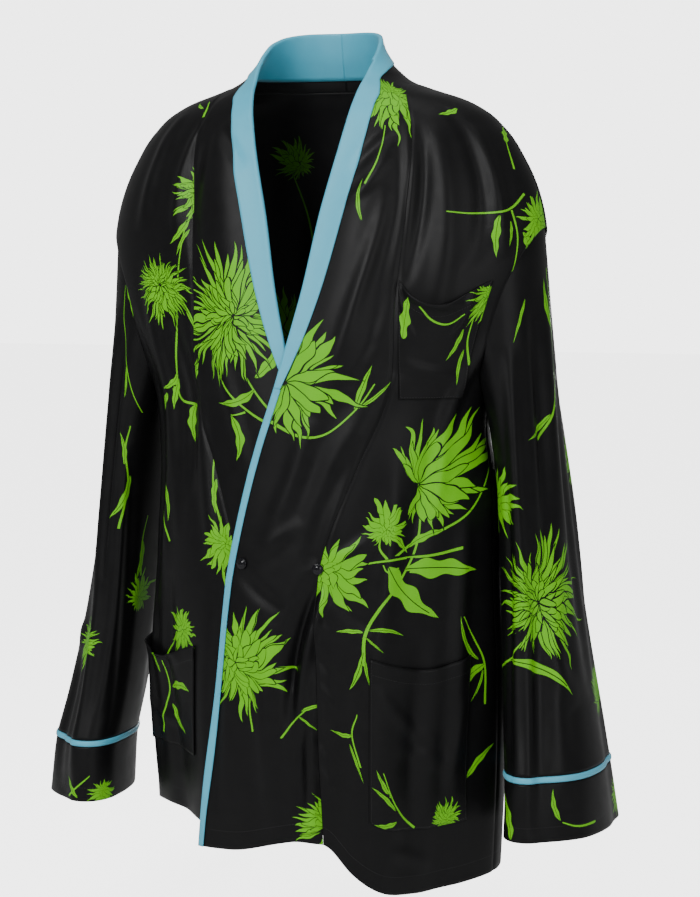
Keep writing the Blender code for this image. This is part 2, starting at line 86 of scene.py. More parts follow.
# Free edge of the band, for each height of its seam
EDGE_COLUMNS = ("seam_height", "edge_sideways", "edge_height")
EDGE = (
    (-0.840, -0.087, -0.864),
    (-0.700, -0.071, -0.708),
    (-0.540, -0.052, -0.540),
    (-0.435, -0.029, -0.424),
    (-0.360, -0.006, -0.342),
    (-0.270, 0.017, -0.250),
    (-0.175, 0.034, -0.160),
    (-0.100, 0.052, -0.084),
    (-0.050, 0.063, -0.030),
    (-0.0165, 0.0695, 0.008),
)

# The band carried on round the neck as a standing collar
COLLAR_COLUMNS = ("seam_angle", "edge_angle", "edge_height")
COLLAR = (
    (71.0, 59.0, 0.008),
    (80.0, 74.0, 0.019),
    (90.0, 88.0, 0.029),
    (105.0, 105.0, 0.037),
    (122.0, 122.0, 0.042),
    (141.0, 141.0, 0.045),
    (160.0, 160.0, 0.046),
    (180.0, 180.0, 0.046),
)
COLLAR_FIRST = 72.5
COLLAR_LAST = 179.97

# Blue facing: the share of the band that it covers outside and inside, for each height of the edge
FACING_COLUMNS = ("edge_height", "outside", "inside")
FACING = (
    (-0.350, 0.045, 0.12),
    (-0.280, 0.14, 0.26),
    (-0.200, 0.23, 0.36),
    (-0.120, 0.29, 0.44),
    (-0.030, 0.36, 0.58),
    (0.020, 0.48, 0.74),
    (0.046, 0.54, 0.80),
)
FACING_LOWEST = -0.35000
PIPING_HIGHEST = -0.35005
PIPING_WIDTH = 0.0065

# Hem dip: the wearer's left hangs lower than the right
DIP_COLUMNS = ("angle", "dip")
DIP = (
    (-90.0, -0.006),
    (-60.0, -0.014),
    (-38.0, -0.010),
    (-15.0, 0.000),
    (14.0, 0.000),
    (20.0, 0.008),
    (28.0, 0.034),
    (38.0, 0.055),
    (52.0, 0.062),
    (70.0, 0.060),
    (95.0, 0.050),
    (135.0, 0.034),
    (180.0, 0.018),
    (225.0, 0.004),
    (270.0, -0.006),
)
DIP_START = -0.500

# Largest folds of the skirt: where each lies, how wide and deep, and where it grows
FOLDS = (
    (19.0, 5.0, -0.007, -0.500, -0.720),
    (34.0, 8.0, 0.008, -0.480, -0.760),
    (63.0, 9.0, -0.005, -0.600, -0.840),
    (90.0, 10.0, 0.006, -0.480, -0.840),
    (104.0, 26.0, 0.023, -0.375, -0.480),
    (104.0, 22.0, 0.007, -0.540, -0.680),
    (116.0, 9.0, -0.008, -0.520, -0.840),
    (141.0, 11.0, 0.010, -0.430, -0.840),
    (164.0, 8.0, -0.006, -0.560, -0.840),
    (187.0, 10.0, 0.009, -0.400, -0.840),
    (212.0, 9.0, -0.008, -0.500, -0.840),
    (239.0, 11.0, 0.009, -0.450, -0.840),
    (263.0, 8.0, -0.006, -0.580, -0.840),
    (291.0, 9.0, 0.006, -0.500, -0.840),
    (316.0, 8.0, -0.007, -0.540, -0.840),
    (333.0, 6.0, 0.004, -0.480, -0.760),
)

# The left front laps over the right one, and the bands swell outward over the chest
LAP_LIFT = 0.0065
LAP_FULL_ANGLE = 31.0
LAP_NONE_ANGLE = 56.0
LAP_TOP = -0.160
LAP_FULL_HEIGHT = -0.330
UNDER_RISE = 0.012
BAND_SWELL = 0.007
SWELL_START = -0.460
SWELL_FULL = -0.300
SWELL_EASE = -0.130
SWELL_END = -0.020

# Sleeves, one row for each level section below the armhole, and the two edges of the cuff
SLEEVE_COLUMNS = ("height", "sideways", "back", "half_long", "half_short", "turn")
SLEEVE = (
    (-0.835, 0.288, -0.008, 0.094, 0.047, 19.0),
    (-0.765, 0.282, -0.004, 0.089, 0.044, 16.0),
    (-0.680, 0.2675, 0.018, 0.086, 0.040, 12.0),
    (-0.580, 0.2555, 0.027, 0.083, 0.036, 6.0),
    (-0.470, 0.242, 0.033, 0.081, 0.034, 2.0),
    (-0.420, 0.235, 0.035, 0.080, 0.034, 0.0),
)
CUFF_BOTTOM = -0.835
CUFF_SEAM = -0.765
CUFF_PIPING_HEIGHT = 0.0070
CUFF_PIPING_BULGE = 0.0016
SLEEVE_LEVEL_TOP = -0.420
SLEEVE_FOLD_FULL = -0.600
SLEEVE_SEAM = 225.0
SLEEVE_POINTS = 20
SLEEVE_LEVEL_ROWS = 8
SLEEVE_CAP_ROWS = 6
SLEEVE_SMOOTHING = 4
SLEEVE_EDGE_POWER = 12

# The upper part of the sleeve's edge goes under the panels as a narrow seam allowance
TUCK_REACH = 0.0012
TUCK_START = -0.40
TUCK_FULL = 0.20

# Folds along the sleeve: where round the ring (0 front, 90 outside), how wide and how deep
SLEEVE_FOLDS = (
    (38.0, 16.0, -0.004),
    (75.0, 18.0, 0.004),
    (128.0, 17.0, -0.005),
    (205.0, 18.0, 0.004),
    (300.0, 20.0, -0.003),
)

# Patch pockets: distances of their sides from the centre line, heights, and how the top droops and gapes
# Columns: name, side, near, far low, far high, bottom, top, droop, gape
POCKETS = (
    ("pocket_chest", 1, 0.123, 0.180, 0.216, -0.360, -0.232, 0.026, 0.010),
    ("pocket_hip_left", 1, 0.102, 0.181, 0.185, -0.774, -0.624, 0.008, 0.003),
    ("pocket_hip_right", -1, 0.102, 0.181, 0.185, -0.768, -0.640, 0.022, 0.009),
)
POCKET_HEM = 0.016
POCKET_HEM_RISE = 0.0006
POCKET_HEM_STEP = 0.012
POCKET_SLACK_POWER = 1.5
POCKET_GAPE_POWER = 3

# Buttons: distance from the centre line towards the wearer's left, and height
BUTTONS = (("button_edge", -0.0375, -0.540), ("button_seam", 0.048, -0.542))

# The cloth sinks a little beside each seam
SEAM_ROLL = 0.0010
SEAM_ROLL_WIDTH = 0.0024
EDGE_CROWDING = 0.75

# Rows and columns of the fine shells
LOWER_ROWS = 150
ARMHOLE_ROWS = 60
SHOULDER_ROWS = 70
COLLAR_ROWS = 90
FRONT_COLUMNS = 70
BAND_COLUMNS = 56
BACK_COLUMNS = 130
BACK_ROW_SHARE = 2
SLEEVE_ROWS = 168
SLEEVE_COLUMNS_ROUND = 112
CUFF_FINE_ROWS = 24
POCKET_FINE_ROWS = 48
POCKET_FINE_COLUMNS = 40


def column(table, names, name):
    return np.array([row[names.index(name)] for row in table], dtype=float)


def smooth_read(table, names, key, name, at):
    """The column of a table at any key, on a smooth curve through its rows."""
    knots = column(table, names, key)
    values = column(table, names, name)
    slopes = np.gradient(values, knots)
    at = np.clip(np.asarray(at, dtype=float), knots[0], knots[-1])
    row = np.clip(np.searchsorted(knots, at, side="right") - 1, 0, len(knots) - 2)
    width = knots[row + 1] - knots[row]
    t = (at - knots[row]) / width
    rise = (3 - 2 * t) * t * t
    start_bend = t * (1 - t) ** 2 * width * slopes[row]
    end_bend = t * t * (t - 1) * width * slopes[row + 1]
    return values[row] + (values[row + 1] - values[row]) * rise + start_bend + end_bend


def form(name, height):
    return smooth_read(FORM, FORM_COLUMNS, "height", name, height)


def ease(start, end, value):
    """0 at start, 1 at end, smooth between them."""
    t = np.clip((np.asarray(value, dtype=float) - start) / (end - start), 0.0, 1.0)
    return t * t * (3 - 2 * t)


def turn_between(angle, centre):
    return (np.asarray(angle, dtype=float) - centre + 180.0) % 360.0 - 180.0


def fold_depth(angle, height):
    depth = np.zeros(np.broadcast(angle, height).shape)
    for centre, spread, size, start, full in FOLDS:
        across = np.exp(-((turn_between(angle, centre) / spread) ** 2))
        depth = depth + size * across * ease(start, full, height)
    return depth


def hem_dip(angle, height):
    around = (np.asarray(angle, dtype=float) + 90.0) % 360.0 - 90.0
    dip = smooth_read(DIP, DIP_COLUMNS, "angle", "dip", around)
    return dip * ease(DIP_START, HEM, height)


# Creases of the body. Each runs between two places given by angle and height, as a trough (depth
# below zero) or a ridge with a soft shoulder on both sides; bow bends it sideways.
# Columns: angle from, height from, angle to, height to, width, depth, bow
BODY_CREASES = (
    (36.0, -0.060, 25.0, -0.300, 0.009, 0.0040, 0.006),
    (31.0, -0.090, 20.0, -0.350, 0.010, -0.0030, -0.004),
    (26.0, -0.130, 15.0, -0.330, 0.008, 0.0032, 0.003),
    (39.0, -0.080, 31.0, -0.240, 0.007, -0.0026, 0.003),
    (34.0, -0.330, 15.0, -0.530, 0.022, 0.0050, 0.010),
    (26.0, -0.400, 12.0, -0.545, 0.012, -0.0034, 0.006),
    (10.0, -0.380, -4.0, -0.520, 0.013, 0.0030, -0.005),
    (15.0, -0.545, 5.0, -0.680, 0.011, -0.0058, 0.006),
    (15.5, -0.552, 5.5, -0.720, 0.005, -0.0050, 0.008),
    (18.0, -0.562, 9.0, -0.740, 0.006, 0.0042, 0.008),
    (6.0, -0.620, 8.0, -0.860, 0.013, -0.0062, -0.005),
    (-1.0, -0.600, 1.0, -0.830, 0.013, 0.0040, 0.006),
    (12.0, -0.700, 14.5, -0.840, 0.008, 0.0030, 0.000),
    (14.0, -0.590, 20.0, -0.615, 0.005, 0.0013, 0.002),
    (13.0, -0.625, 20.5, -0.655, 0.006, -0.0014, 0.002),
    (14.0, -0.665, 21.0, -0.690, 0.005, 0.0014, -0.002),
    (13.5, -0.710, 20.0, -0.742, 0.006, -0.0013, 0.002),
    (14.5, -0.752, 21.0, -0.778, 0.005, 0.0012, 0.000),
    (30.0, -0.070, 16.0, -0.118, 0.007, -0.0022, 0.003),
    (27.0, -0.095, 14.0, -0.150, 0.006, 0.0016, -0.002),
    (-28.0, -0.060, -15.0, -0.112, 0.008, -0.0024, -0.003),
    (-12.0, -0.545, 4.0, -0.590, 0.010, -0.0020, 0.004),
    (-11.0, -0.535, 8.0, -0.490, 0.011, 0.0018, 0.003),
    (16.0, -0.550, 34.0, -0.600, 0.012, -0.0030, 0.006),
    (17.0, -0.535, 36.0, -0.500, 0.012, 0.0026, 0.004),
    (46.0, -0.050, 41.0, -0.270, 0.014, 0.0040, 0.006),
    (56.0, -0.040, 49.0, -0.220, 0.012, -0.0034, -0.005),
    (64.0, -0.060, 60.0, -0.210, 0.012, 0.0030, 0.004),
    (70.0, -0.250, 58.0, -0.480, 0.014, 0.0036, 0.010),
    (62.0, -0.380, 46.0, -0.560, 0.016, -0.0034, 0.008),
    (40.0, -0.420, 33.0, -0.640, 0.016, 0.0034, -0.006),
    (52.0, -0.600, 49.0, -0.820, 0.018, -0.0040, 0.004),
    (74.0, -0.480, 70.0, -0.760, 0.016, 0.0036, 0.006),
    (40.0, -0.795, 60.0, -0.815, 0.009, 0.0016, -0.004),
    (-45.0, -0.200, -47.0, -0.520, 0.012, 0.0042, 0.008),
    (-38.0, -0.230, -39.0, -0.480, 0.011, -0.0036, -0.005),
    (-54.0, -0.260, -57.0, -0.580, 0.013, 0.0044, -0.007),
    (-62.0, -0.330, -66.0, -0.620, 0.012, -0.0036, 0.006),
    (-33.0, -0.360, -22.0, -0.560, 0.013, 0.0030, 0.006),
    (-50.0, -0.560, -46.0, -0.800, 0.015, -0.0038, 0.005),
    (-70.0, -0.560, -66.0, -0.820, 0.014, 0.0036, -0.004),
    (-30.0, -0.060, -26.0, -0.220, 0.009, -0.0030, 0.004),
    (-37.0, -0.050, -34.0, -0.190, 0.008, 0.0030, 0.003),
    (-55.0, -0.045, -50.0, -0.180, 0.012, 0.0030, -0.004),
    (-22.0, -0.280, -12.0, -0.450, 0.011, 0.0026, 0.004),
    (-17.0, -0.560, -22.0, -0.820, 0.012, -0.0034, 0.004),
    (118.0, -0.130, 132.0, -0.380, 0.016, 0.0040, 0.010),
    (134.0, -0.100, 146.0, -0.330, 0.014, -0.0034, -0.008),
    (152.0, -0.080, 158.0, -0.300, 0.013, 0.0030, 0.006),
    (172.0, -0.120, 170.0, -0.420, 0.016, -0.0030, 0.008),
    (192.0, -0.090, 196.0, -0.350, 0.014, 0.0034, -0.006),
    (212.0, -0.100, 204.0, -0.310, 0.013, -0.0032, 0.006),
    (228.0, -0.110, 218.0, -0.360, 0.016, 0.0040, -0.010),
    (244.0, -0.140, 232.0, -0.390, 0.014, -0.0036, 0.008),
    (126.0, -0.420, 120.0, -0.760, 0.017, 0.0044, 0.008),
    (150.0, -0.460, 155.0, -0.800, 0.016, -0.0040, -0.006),
    (176.0, -0.430, 178.0, -0.780, 0.018, 0.0040, 0.010),
    (200.0, -0.470, 196.0, -0.810, 0.016, -0.0042, 0.006),
    (224.0, -0.430, 230.0, -0.770, 0.017, 0.0042, -0.008),
    (250.0, -0.460, 246.0, -0.790, 0.015, -0.0036, 0.006),
    (104.0, -0.450, 102.0, -0.740, 0.014, -0.0034, 0.005),
    (258.0, -0.440, 262.0, -0.720, 0.014, 0.0032, 0.005),
)
METRES_PER_DEGREE = 0.0029
CREASE_SHOULDER = 0.8
CREASE_STRENGTH = 1.25
CREASE_END_POWER = 0.7


def crease_depth(creases, around, up, metres_per_degree, turning):
    """The sum of all creases at places given by angle and height."""
    around, up = np.broadcast_arrays(np.asarray(around, dtype=float), np.asarray(up, dtype=float))
    depth = np.zeros(around.shape)
    for angle_from, height_from, angle_to, height_to, width, size, bow in creases:
        run = np.array([(angle_to - angle_from) * metres_per_degree, height_to - height_from])
        length = np.hypot(*run)
        ahead = run / length
        offset_x = turn_between(around, angle_from) if turning else around - angle_from
        offset_x = offset_x * metres_per_degree
        offset_y = up - height_from
        along = np.clip((offset_x * ahead[0] + offset_y * ahead[1]) / length, 0.0, 1.0)
        aside = offset_x * ahead[1] - offset_y * ahead[0] - 4 * bow * along * (1 - along)
        near = (aside / width) ** 2
        fade = np.sin(np.pi * along) ** CREASE_END_POWER
        depth = depth + size * fade * (1 - CREASE_SHOULDER * near) * np.exp(-near)
    return CREASE_STRENGTH * depth


def form_point(angle, height, lift=0.0):
    """A point of the worn form with its folds and creases."""
    angle, height = np.broadcast_arrays(np.asarray(angle, dtype=float), np.asarray(height, dtype=float))
    half_width = form("half_width", height)
    middle = (form("front", height) + form("back", height)) / 2
    half_depth = (form("back", height) - form("front", height)) / 2
    turn = np.radians(angle)
    out_x = np.sin(turn) / half_width
    out_y = -np.cos(turn) / half_depth
    length = np.hypot(out_x, out_y)
    creases = crease_depth(BODY_CREASES, angle, height, METRES_PER_DEGREE, True)
    push = (lift + fold_depth(angle, height) + creases) / length
    x = half_width * np.sin(turn) + out_x * push
    y = middle - half_depth * np.cos(turn) + out_y * push
    return np.stack([x, y, height - hem_dip(angle, height)], axis=-1)


def angle_at(sideways, height):
    """The angle on the form's front half at a distance from the centre line."""
    return np.degrees(np.arcsin(np.clip(sideways / form("half_width", height), -1.0, 1.0)))


def lap_lift(side, angle, height):
    if side < 0:
        return np.zeros(np.broadcast(angle, height).shape)
    across = ease(LAP_NONE_ANGLE, LAP_FULL_ANGLE, angle)
    return LAP_LIFT * across * ease(LAP_TOP, LAP_FULL_HEIGHT, height)


def outward(grid):
    """Unit normals of a grid of points whose rows go up and whose columns go round."""
    along = np.gradient(grid, axis=1)
    up = np.gradient(grid, axis=0)
    normal = np.cross(along, up)
    return normal / np.linalg.norm(normal, axis=-1, keepdims=True)


def travelled_along(points):
    """How far along a line each of its points lies."""
    steps = np.linalg.norm(np.diff(points, axis=0), axis=-1)
    return np.concatenate([[0.0], np.cumsum(steps)])


HEIGHT_SAMPLES = 40
SHOULDER_ANGLE = 60.0


def even_heights(angle, start, end, count):
    """Heights between two others whose points on the form are evenly spaced along the cloth."""
    fine = np.linspace(start, end, HEIGHT_SAMPLES * count)
    travelled = travelled_along(form_point(angle, fine))
    return np.interp(np.linspace(0.0, travelled[-1], count + 1), travelled, fine)


def panel_heights(share=1):
    """Heights of the rows of a body panel, closer together at both ends of the armhole."""
    lower = np.linspace(HEM, ARMHOLE_BOTTOM, LOWER_ROWS // share, endpoint=False)
    turns = np.linspace(math.pi, 0.0, ARMHOLE_ROWS // share + 1)
    armhole = ARMHOLE_MIDDLE + ARMHOLE_HALF * np.cos(turns)
    shoulder = even_heights(SHOULDER_ANGLE, ARMHOLE_TOP, NECK_SEAM, SHOULDER_ROWS // share)
    return np.concatenate([lower, armhole, shoulder[1:]])


def armhole_cut(height):
    """How far the armhole bites into a panel from the side, in degrees."""
    inside = np.clip(1.0 - ((np.asarray(height) - ARMHOLE_MIDDLE) / ARMHOLE_HALF) ** 2, 0.0, 1.0)
    return ARMHOLE_DEPTH_DEGREES * np.sqrt(inside)


def gap_angle(height):
    """Half a seam gap across the front, in degrees round the form."""
    return np.degrees(SEAM_GAP / 2 / form("half_width", height))


def side_gap_angle(height):
    """Half a seam gap at the side, where a degree is shorter, in degrees round the form."""
    return np.degrees(SEAM_GAP / (form("back", height) - form("front", height)))


def seam_angle(height):
    return angle_at(smooth_read(SEAM, SEAM_COLUMNS, "height", "sideways", height), height)


def front_angles(height):
    """The angles at a front panel's band seam, and at its side seam, armhole or shoulder."""
    near = seam_angle(height) + gap_angle(height)
    far = 90.0 - armhole_cut(height) - side_gap_angle(height)
    return near, far


def columns_round(side, grid):
    """Columns always run the same way round the body, so the wearer's right is turned about."""
    return grid if side > 0 else grid[:, ::-1]


def crowded_shares(count):
    """Shares from 0 to 1, closer together at both ends, where the cloth rolls into a seam."""
    even = np.linspace(0.0, 1.0, count + 1)
    return even - EDGE_CROWDING * np.sin(math.tau * even) / math.tau


def column_at(share, count):
    """The place among crowded columns of a share of the width."""
    return np.interp(share, crowded_shares(count), np.arange(count + 1))


def seam_roll(distance):
    """How far the cloth sinks beside a seam, by the distance from it in metres."""
    return -SEAM_ROLL * np.exp(-((distance / SEAM_ROLL_WIDTH) ** 2))


def seam_rolls(angle, first, last):
    """The sink at the two seams of a panel between two angles."""
    return seam_roll((angle - first) * METRES_PER_DEGREE) + seam_roll((last - angle) * METRES_PER_DEGREE)


def front_grid(side):
    """The points of a front panel, in rows from the hem up and columns from the band seam to the side."""
    height = panel_heights()[:, None]
    near, far = front_angles(height)
    angle = near + (far - near) * crowded_shares(FRONT_COLUMNS)[None, :]
    return form_point(side * angle, height, lap_lift(side, angle, height) + seam_rolls(angle, near, far))


def back_grid():
    height = panel_heights(BACK_ROW_SHARE)[:, None]
    first = 90.0 + armhole_cut(height) + side_gap_angle(height)
    angle = first + (360.0 - 2 * first) * crowded_shares(BACK_COLUMNS)[None, :]
    return form_point(angle, height, seam_rolls(angle, first, 360.0 - first))


def band_rows(side):
    """Angles and heights of the band's edge and seam, in rows up the front and round the neck."""
    heights = panel_heights()
    edge_heights = smooth_read(EDGE, EDGE_COLUMNS, "seam_height", "edge_height", heights)
    if side < 0:
        edge_heights = np.maximum(edge_heights, heights + UNDER_RISE * ease(DIP_START, HEM, heights))
    edge_sideways = smooth_read(EDGE, EDGE_COLUMNS, "seam_height", "edge_sideways", heights)
    collar_seam = np.linspace(COLLAR_FIRST, COLLAR_LAST, COLLAR_ROWS)
    lowest_collar = np.full(COLLAR_ROWS, NECK_SEAM + SEAM_GAP)
    collar_angle = smooth_read(COLLAR, COLLAR_COLUMNS, "seam_angle", "edge_angle", collar_seam)
    collar_height = smooth_read(COLLAR, COLLAR_COLUMNS, "seam_angle", "edge_height", collar_seam)
    return {
        "seam_angle": np.concatenate([seam_angle(heights) - gap_angle(heights), collar_seam]),
        "seam_height": np.concatenate([heights[:-1], [NECK_SEAM + SEAM_GAP], lowest_collar]),
        "edge_angle": np.concatenate([angle_at(edge_sideways, edge_heights), collar_angle]),
        "edge_height": np.concatenate([edge_heights, collar_height]),
    }


def band_grid(side):
    """The points of a front band, in rows from the hem up and columns from its free edge to its seam."""
    read = {name: values[:, None] for name, values in band_rows(side).items()}
    share = crowded_shares(BAND_COLUMNS)[None, :]
    angle = read["edge_angle"] + (read["seam_angle"] - read["edge_angle"]) * share
    height = read["edge_height"] + (read["seam_height"] - read["edge_height"]) * share
    chest = ease(SWELL_START, SWELL_FULL, height) * ease(SWELL_END, SWELL_EASE, height)
    swell = BAND_SWELL * np.sin(np.pi * share) ** 2 * chest
    roll = seam_roll((read["seam_angle"] - angle) * METRES_PER_DEGREE)
    return form_point(side * angle, height, lap_lift(side, angle, height) + swell + roll)


def on_grid(grid, row, across):
    """A point between a grid's points, by its place in rows and columns."""
    row, across = np.broadcast_arrays(row, across)
    low = np.clip(np.floor(row).astype(int), 0, grid.shape[0] - 2)
    near = np.clip(np.floor(across).astype(int), 0, grid.shape[1] - 2)
    up = (row - low)[..., None]
    along = (across - near)[..., None]
    bottom = grid[low, near] * (1 - along) + grid[low, near + 1] * along
    top = grid[low + 1, near] * (1 - along) + grid[low + 1, near + 1] * along
    return bottom * (1 - up) + top * up


def sleeve(name, height):
    return smooth_read(SLEEVE, SLEEVE_COLUMNS, "height", name, height)


def sleeve_level(side, around, height):
    """A point of a level section of a sleeve: around is 0 at the front and 90 on the outside."""
    folds = np.zeros(np.broadcast(around, height).shape)
    for centre, spread, size in SLEEVE_FOLDS:
        folds = folds + size * np.exp(-((turn_between(around, centre) / spread) ** 2))
    fold = folds * ease(SLEEVE_LEVEL_TOP, SLEEVE_FOLD_FULL, height)
    turn = np.radians(around)
    long_way = (sleeve("half_long", height) + fold) * np.cos(turn)
    short_way = (sleeve("half_short", height) + fold) * np.sin(turn)
    lean = np.radians(sleeve("turn", height))
    x = sleeve("sideways", height) + short_way * np.cos(lean) - long_way * np.sin(lean)
    y = sleeve("back", height) - short_way * np.sin(lean) - long_way * np.cos(lean)
    return np.stack([side * x, y, np.broadcast_to(height, x.shape)], axis=-1)


def armhole_ring(side, around):
    """The sleeve's edge in the armhole, sunk as the panels are: beside them below, under them above."""
    turn = np.radians(around)
    tucked = ease(TUCK_START, TUCK_FULL, np.sin(turn))
    reach = TUCK_REACH * tucked
    angle = 90.0 - (ARMHOLE_DEPTH_DEGREES + reach / METRES_PER_DEGREE) * np.cos(turn)
    height = ARMHOLE_MIDDLE + (ARMHOLE_HALF + reach) * np.sin(turn)
    lift = SEAM_GAP - SEAM_ROLL - tucked * (CLOTH + 2 * SEAM_GAP)
    return form_point(side * angle, height, lift) + (side * SEAM_GAP / 2, 0.0, -SEAM_GAP)


def smooth_rows(grid):
    """Evens out the bend between rows, and leaves the first two rows and the last one where they are."""
    for _ in range(SLEEVE_SMOOTHING):
        middle = (grid[1:-3] + 2 * grid[2:-2] + grid[3:-1]) / 4
        grid = np.concatenate([grid[:2], middle, grid[-2:]])
    return grid


def curve_through(values, places, ring):
    """Points on a smooth curve through values numbered from 0; a ring closes on itself."""
    count = len(values)
    start = np.floor(places).astype(int)
    if ring:
        order = values[np.arange(-1, count + 2) % count]
        start = np.clip(start, 0, count - 1)
    else:
        before = 2 * values[:1] - values[1:2]
        after = 2 * values[-1:] - values[-2:-1]
        order = np.concatenate([before, values, after])
        start = np.clip(start, 0, count - 2)
    t = (places - start).reshape(-1, *[1] * (values.ndim - 1))
    a, b, c, d = (order[start + step] for step in range(4))
    return b + 0.5 * t * (c - a + t * (2 * a - 5 * b + 4 * c - d + t * (3 * (b - c) + d - a)))


def fine_angles():
    """Angles round a sleeve from its seam under the arm to the same seam again."""
    return SLEEVE_SEAM + np.linspace(0.0, 360.0, SLEEVE_COLUMNS_ROUND + 1)


def fine_round(grid):
    """More columns on a ring of points, from its seam on; the last column closes on the first."""
    places = fine_angles() % 360.0 * SLEEVE_POINTS / 360.0
    return curve_through(grid.swapaxes(0, 1), places, True).swapaxes(0, 1)


# Creases of the sleeves: angle round the sleeve and height, as for the body
SLEEVE_CREASES = {
    1: (
        (20.0, -0.300, 14.0, -0.620, 0.014, 0.0046, 0.010),
        (52.0, -0.240, 46.0, -0.560, 0.013, -0.0040, -0.008),
        (84.0, -0.230, 78.0, -0.520, 0.015, 0.0044, 0.008),
        (64.0, -0.520, 58.0, -0.800, 0.013, 0.0036, 0.006),
        (30.0, -0.560, 26.0, -0.830, 0.012, -0.0040, -0.005),
        (-8.0, -0.440, -12.0, -0.780, 0.012, -0.0038, 0.006),
        (106.0, -0.330, 100.0, -0.700, 0.014, -0.0040, 0.008),
        (40.0, -0.640, 70.0, -0.700, 0.014, 0.0024, -0.008),
        (140.0, -0.260, 132.0, -0.600, 0.015, 0.0044, -0.010),
        (170.0, -0.380, 164.0, -0.780, 0.014, -0.0040, 0.008),
        (198.0, -0.300, 190.0, -0.640, 0.015, 0.0042, 0.008),
        (236.0, -0.440, 230.0, -0.760, 0.013, -0.0034, 0.006),
        (275.0, -0.470, 280.0, -0.720, 0.013, 0.0026, -0.005),
        (322.0, -0.460, 318.0, -0.800, 0.012, 0.0030, 0.006),
    ),
    -1: (
        (14.0, -0.280, 10.0, -0.580, 0.013, -0.0042, -0.008),
        (40.0, -0.260, 34.0, -0.640, 0.014, 0.0048, 0.010),
        (72.0, -0.250, 64.0, -0.540, 0.013, -0.0038, 0.006),
        (98.0, -0.280, 90.0, -0.660, 0.015, 0.0042, -0.008),
        (22.0, -0.540, 24.0, -0.810, 0.012, 0.0036, 0.005),
        (52.0, -0.600, 50.0, -0.830, 0.013, -0.0040, -0.006),
        (-14.0, -0.420, -10.0, -0.740, 0.012, 0.0036, 0.006),
        (80.0, -0.640, 50.0, -0.690, 0.013, 0.0022, 0.008),
        (128.0, -0.300, 120.0, -0.700, 0.014, -0.0042, 0.008),
        (160.0, -0.270, 152.0, -0.590, 0.015, 0.0040, -0.008),
        (188.0, -0.420, 182.0, -0.790, 0.014, -0.0042, 0.006),
        (222.0, -0.340, 214.0, -0.650, 0.014, 0.0036, 0.006),
        (262.0, -0.460, 266.0, -0.740, 0.013, -0.0026, 0.005),
        (330.0, -0.450, 326.0, -0.780, 0.012, -0.0032, 0.006),
    ),
}
METRES_PER_SLEEVE_DEGREE = 0.0011
SLEEVE_CREASE_FADE = 0.045


def creased_sleeve(side, grid):
    """A ring grid with the sleeve's creases, which die out at the armhole."""
    around = fine_angles()[None, :]
    height = grid[..., 2]
    depth = crease_depth(SLEEVE_CREASES[side], around, height, METRES_PER_SLEEVE_DEGREE, True)
    top = armhole_ring(side, around)[..., 2]
    depth = depth * ease(0.0, SLEEVE_CREASE_FADE, top - height)
    grid = columns_round(side, grid)
    return grid + outward(grid) * columns_round(side, depth)[..., None]


def ring_angles():
    return np.linspace(0.0, 360.0, SLEEVE_POINTS, endpoint=False)


def sleeve_grid(side):
    around = ring_angles()
    heights = np.linspace(CUFF_SEAM, SLEEVE_LEVEL_TOP, SLEEVE_LEVEL_ROWS + 1)
    level = sleeve_level(side, around[None, :], heights[:, None])
    top = armhole_ring(side, around)
    shares = np.linspace(0.0, 1.0, SLEEVE_CAP_ROWS + 1)[1:, None, None]
    cap = level[-1] + (top - level[-1]) * shares
    coarse = smooth_rows(np.concatenate([level, cap]))
    fine = curve_through(coarse, np.linspace(0.0, len(coarse) - 1.0, SLEEVE_ROWS + 1), False)
    grid = fine_round(fine)
    to_armhole = armhole_ring(side, fine_angles()) - grid[-1]
    near_armhole = np.linspace(0.0, 1.0, SLEEVE_ROWS + 1)[:, None, None] ** SLEEVE_EDGE_POWER
    return creased_sleeve(side, grid + to_armhole * near_armhole)


def cuff_grid(side):
    heights = np.linspace(CUFF_BOTTOM, CUFF_SEAM - CUFF_PIPING_HEIGHT, CUFF_FINE_ROWS + 1)
    level = sleeve_level(side, ring_angles()[None, :], heights[:, None])
    return creased_sleeve(side, fine_round(level))


CUFF_PIPING_ROWS = 8


def cuff_piping_grid(side):
    """The piping in the cuff seam: a half-round roll of cloth."""
    roll = np.linspace(-1.0, 1.0, CUFF_PIPING_ROWS + 1)[:, None]
    low = CUFF_SEAM - CUFF_PIPING_HEIGHT + SEAM_GAP
    high = CUFF_SEAM - SEAM_GAP
    heights = low + (high - low) * (roll + 1) / 2
    bulge = CUFF_PIPING_BULGE * np.sqrt(1 - roll**2)
    level = sleeve_level(side, ring_angles()[None, :], heights)
    grid = creased_sleeve(side, fine_round(level))
    return grid + outward(grid) * bulge[..., None]


# Rolls of the slack pockets: metres across from the middle and up from the bottom, as for the body
POCKET_CREASES = {
    "pocket_chest": (
        (-0.052, 0.096, 0.046, 0.090, 0.007, 0.0034, -0.010),
        (-0.054, 0.112, -0.022, 0.062, 0.006, 0.0026, 0.004),
        (0.052, 0.112, 0.018, 0.064, 0.006, 0.0024, -0.004),
        (-0.034, 0.032, 0.036, 0.018, 0.009, 0.0024, -0.005),
    ),
    "pocket_hip_left": (
        (-0.060, 0.146, 0.020, 0.096, 0.011, 0.0014, 0.006),
        (-0.040, 0.090, 0.044, 0.058, 0.012, 0.0016, -0.006),
        (0.056, 0.140, 0.034, 0.030, 0.012, 0.0014, 0.004),
    ),
    "pocket_hip_right": (
        (-0.052, 0.098, 0.044, 0.092, 0.007, 0.0026, -0.009),
        (-0.040, 0.042, 0.038, 0.026, 0.010, 0.0022, 0.004),
    ),
}


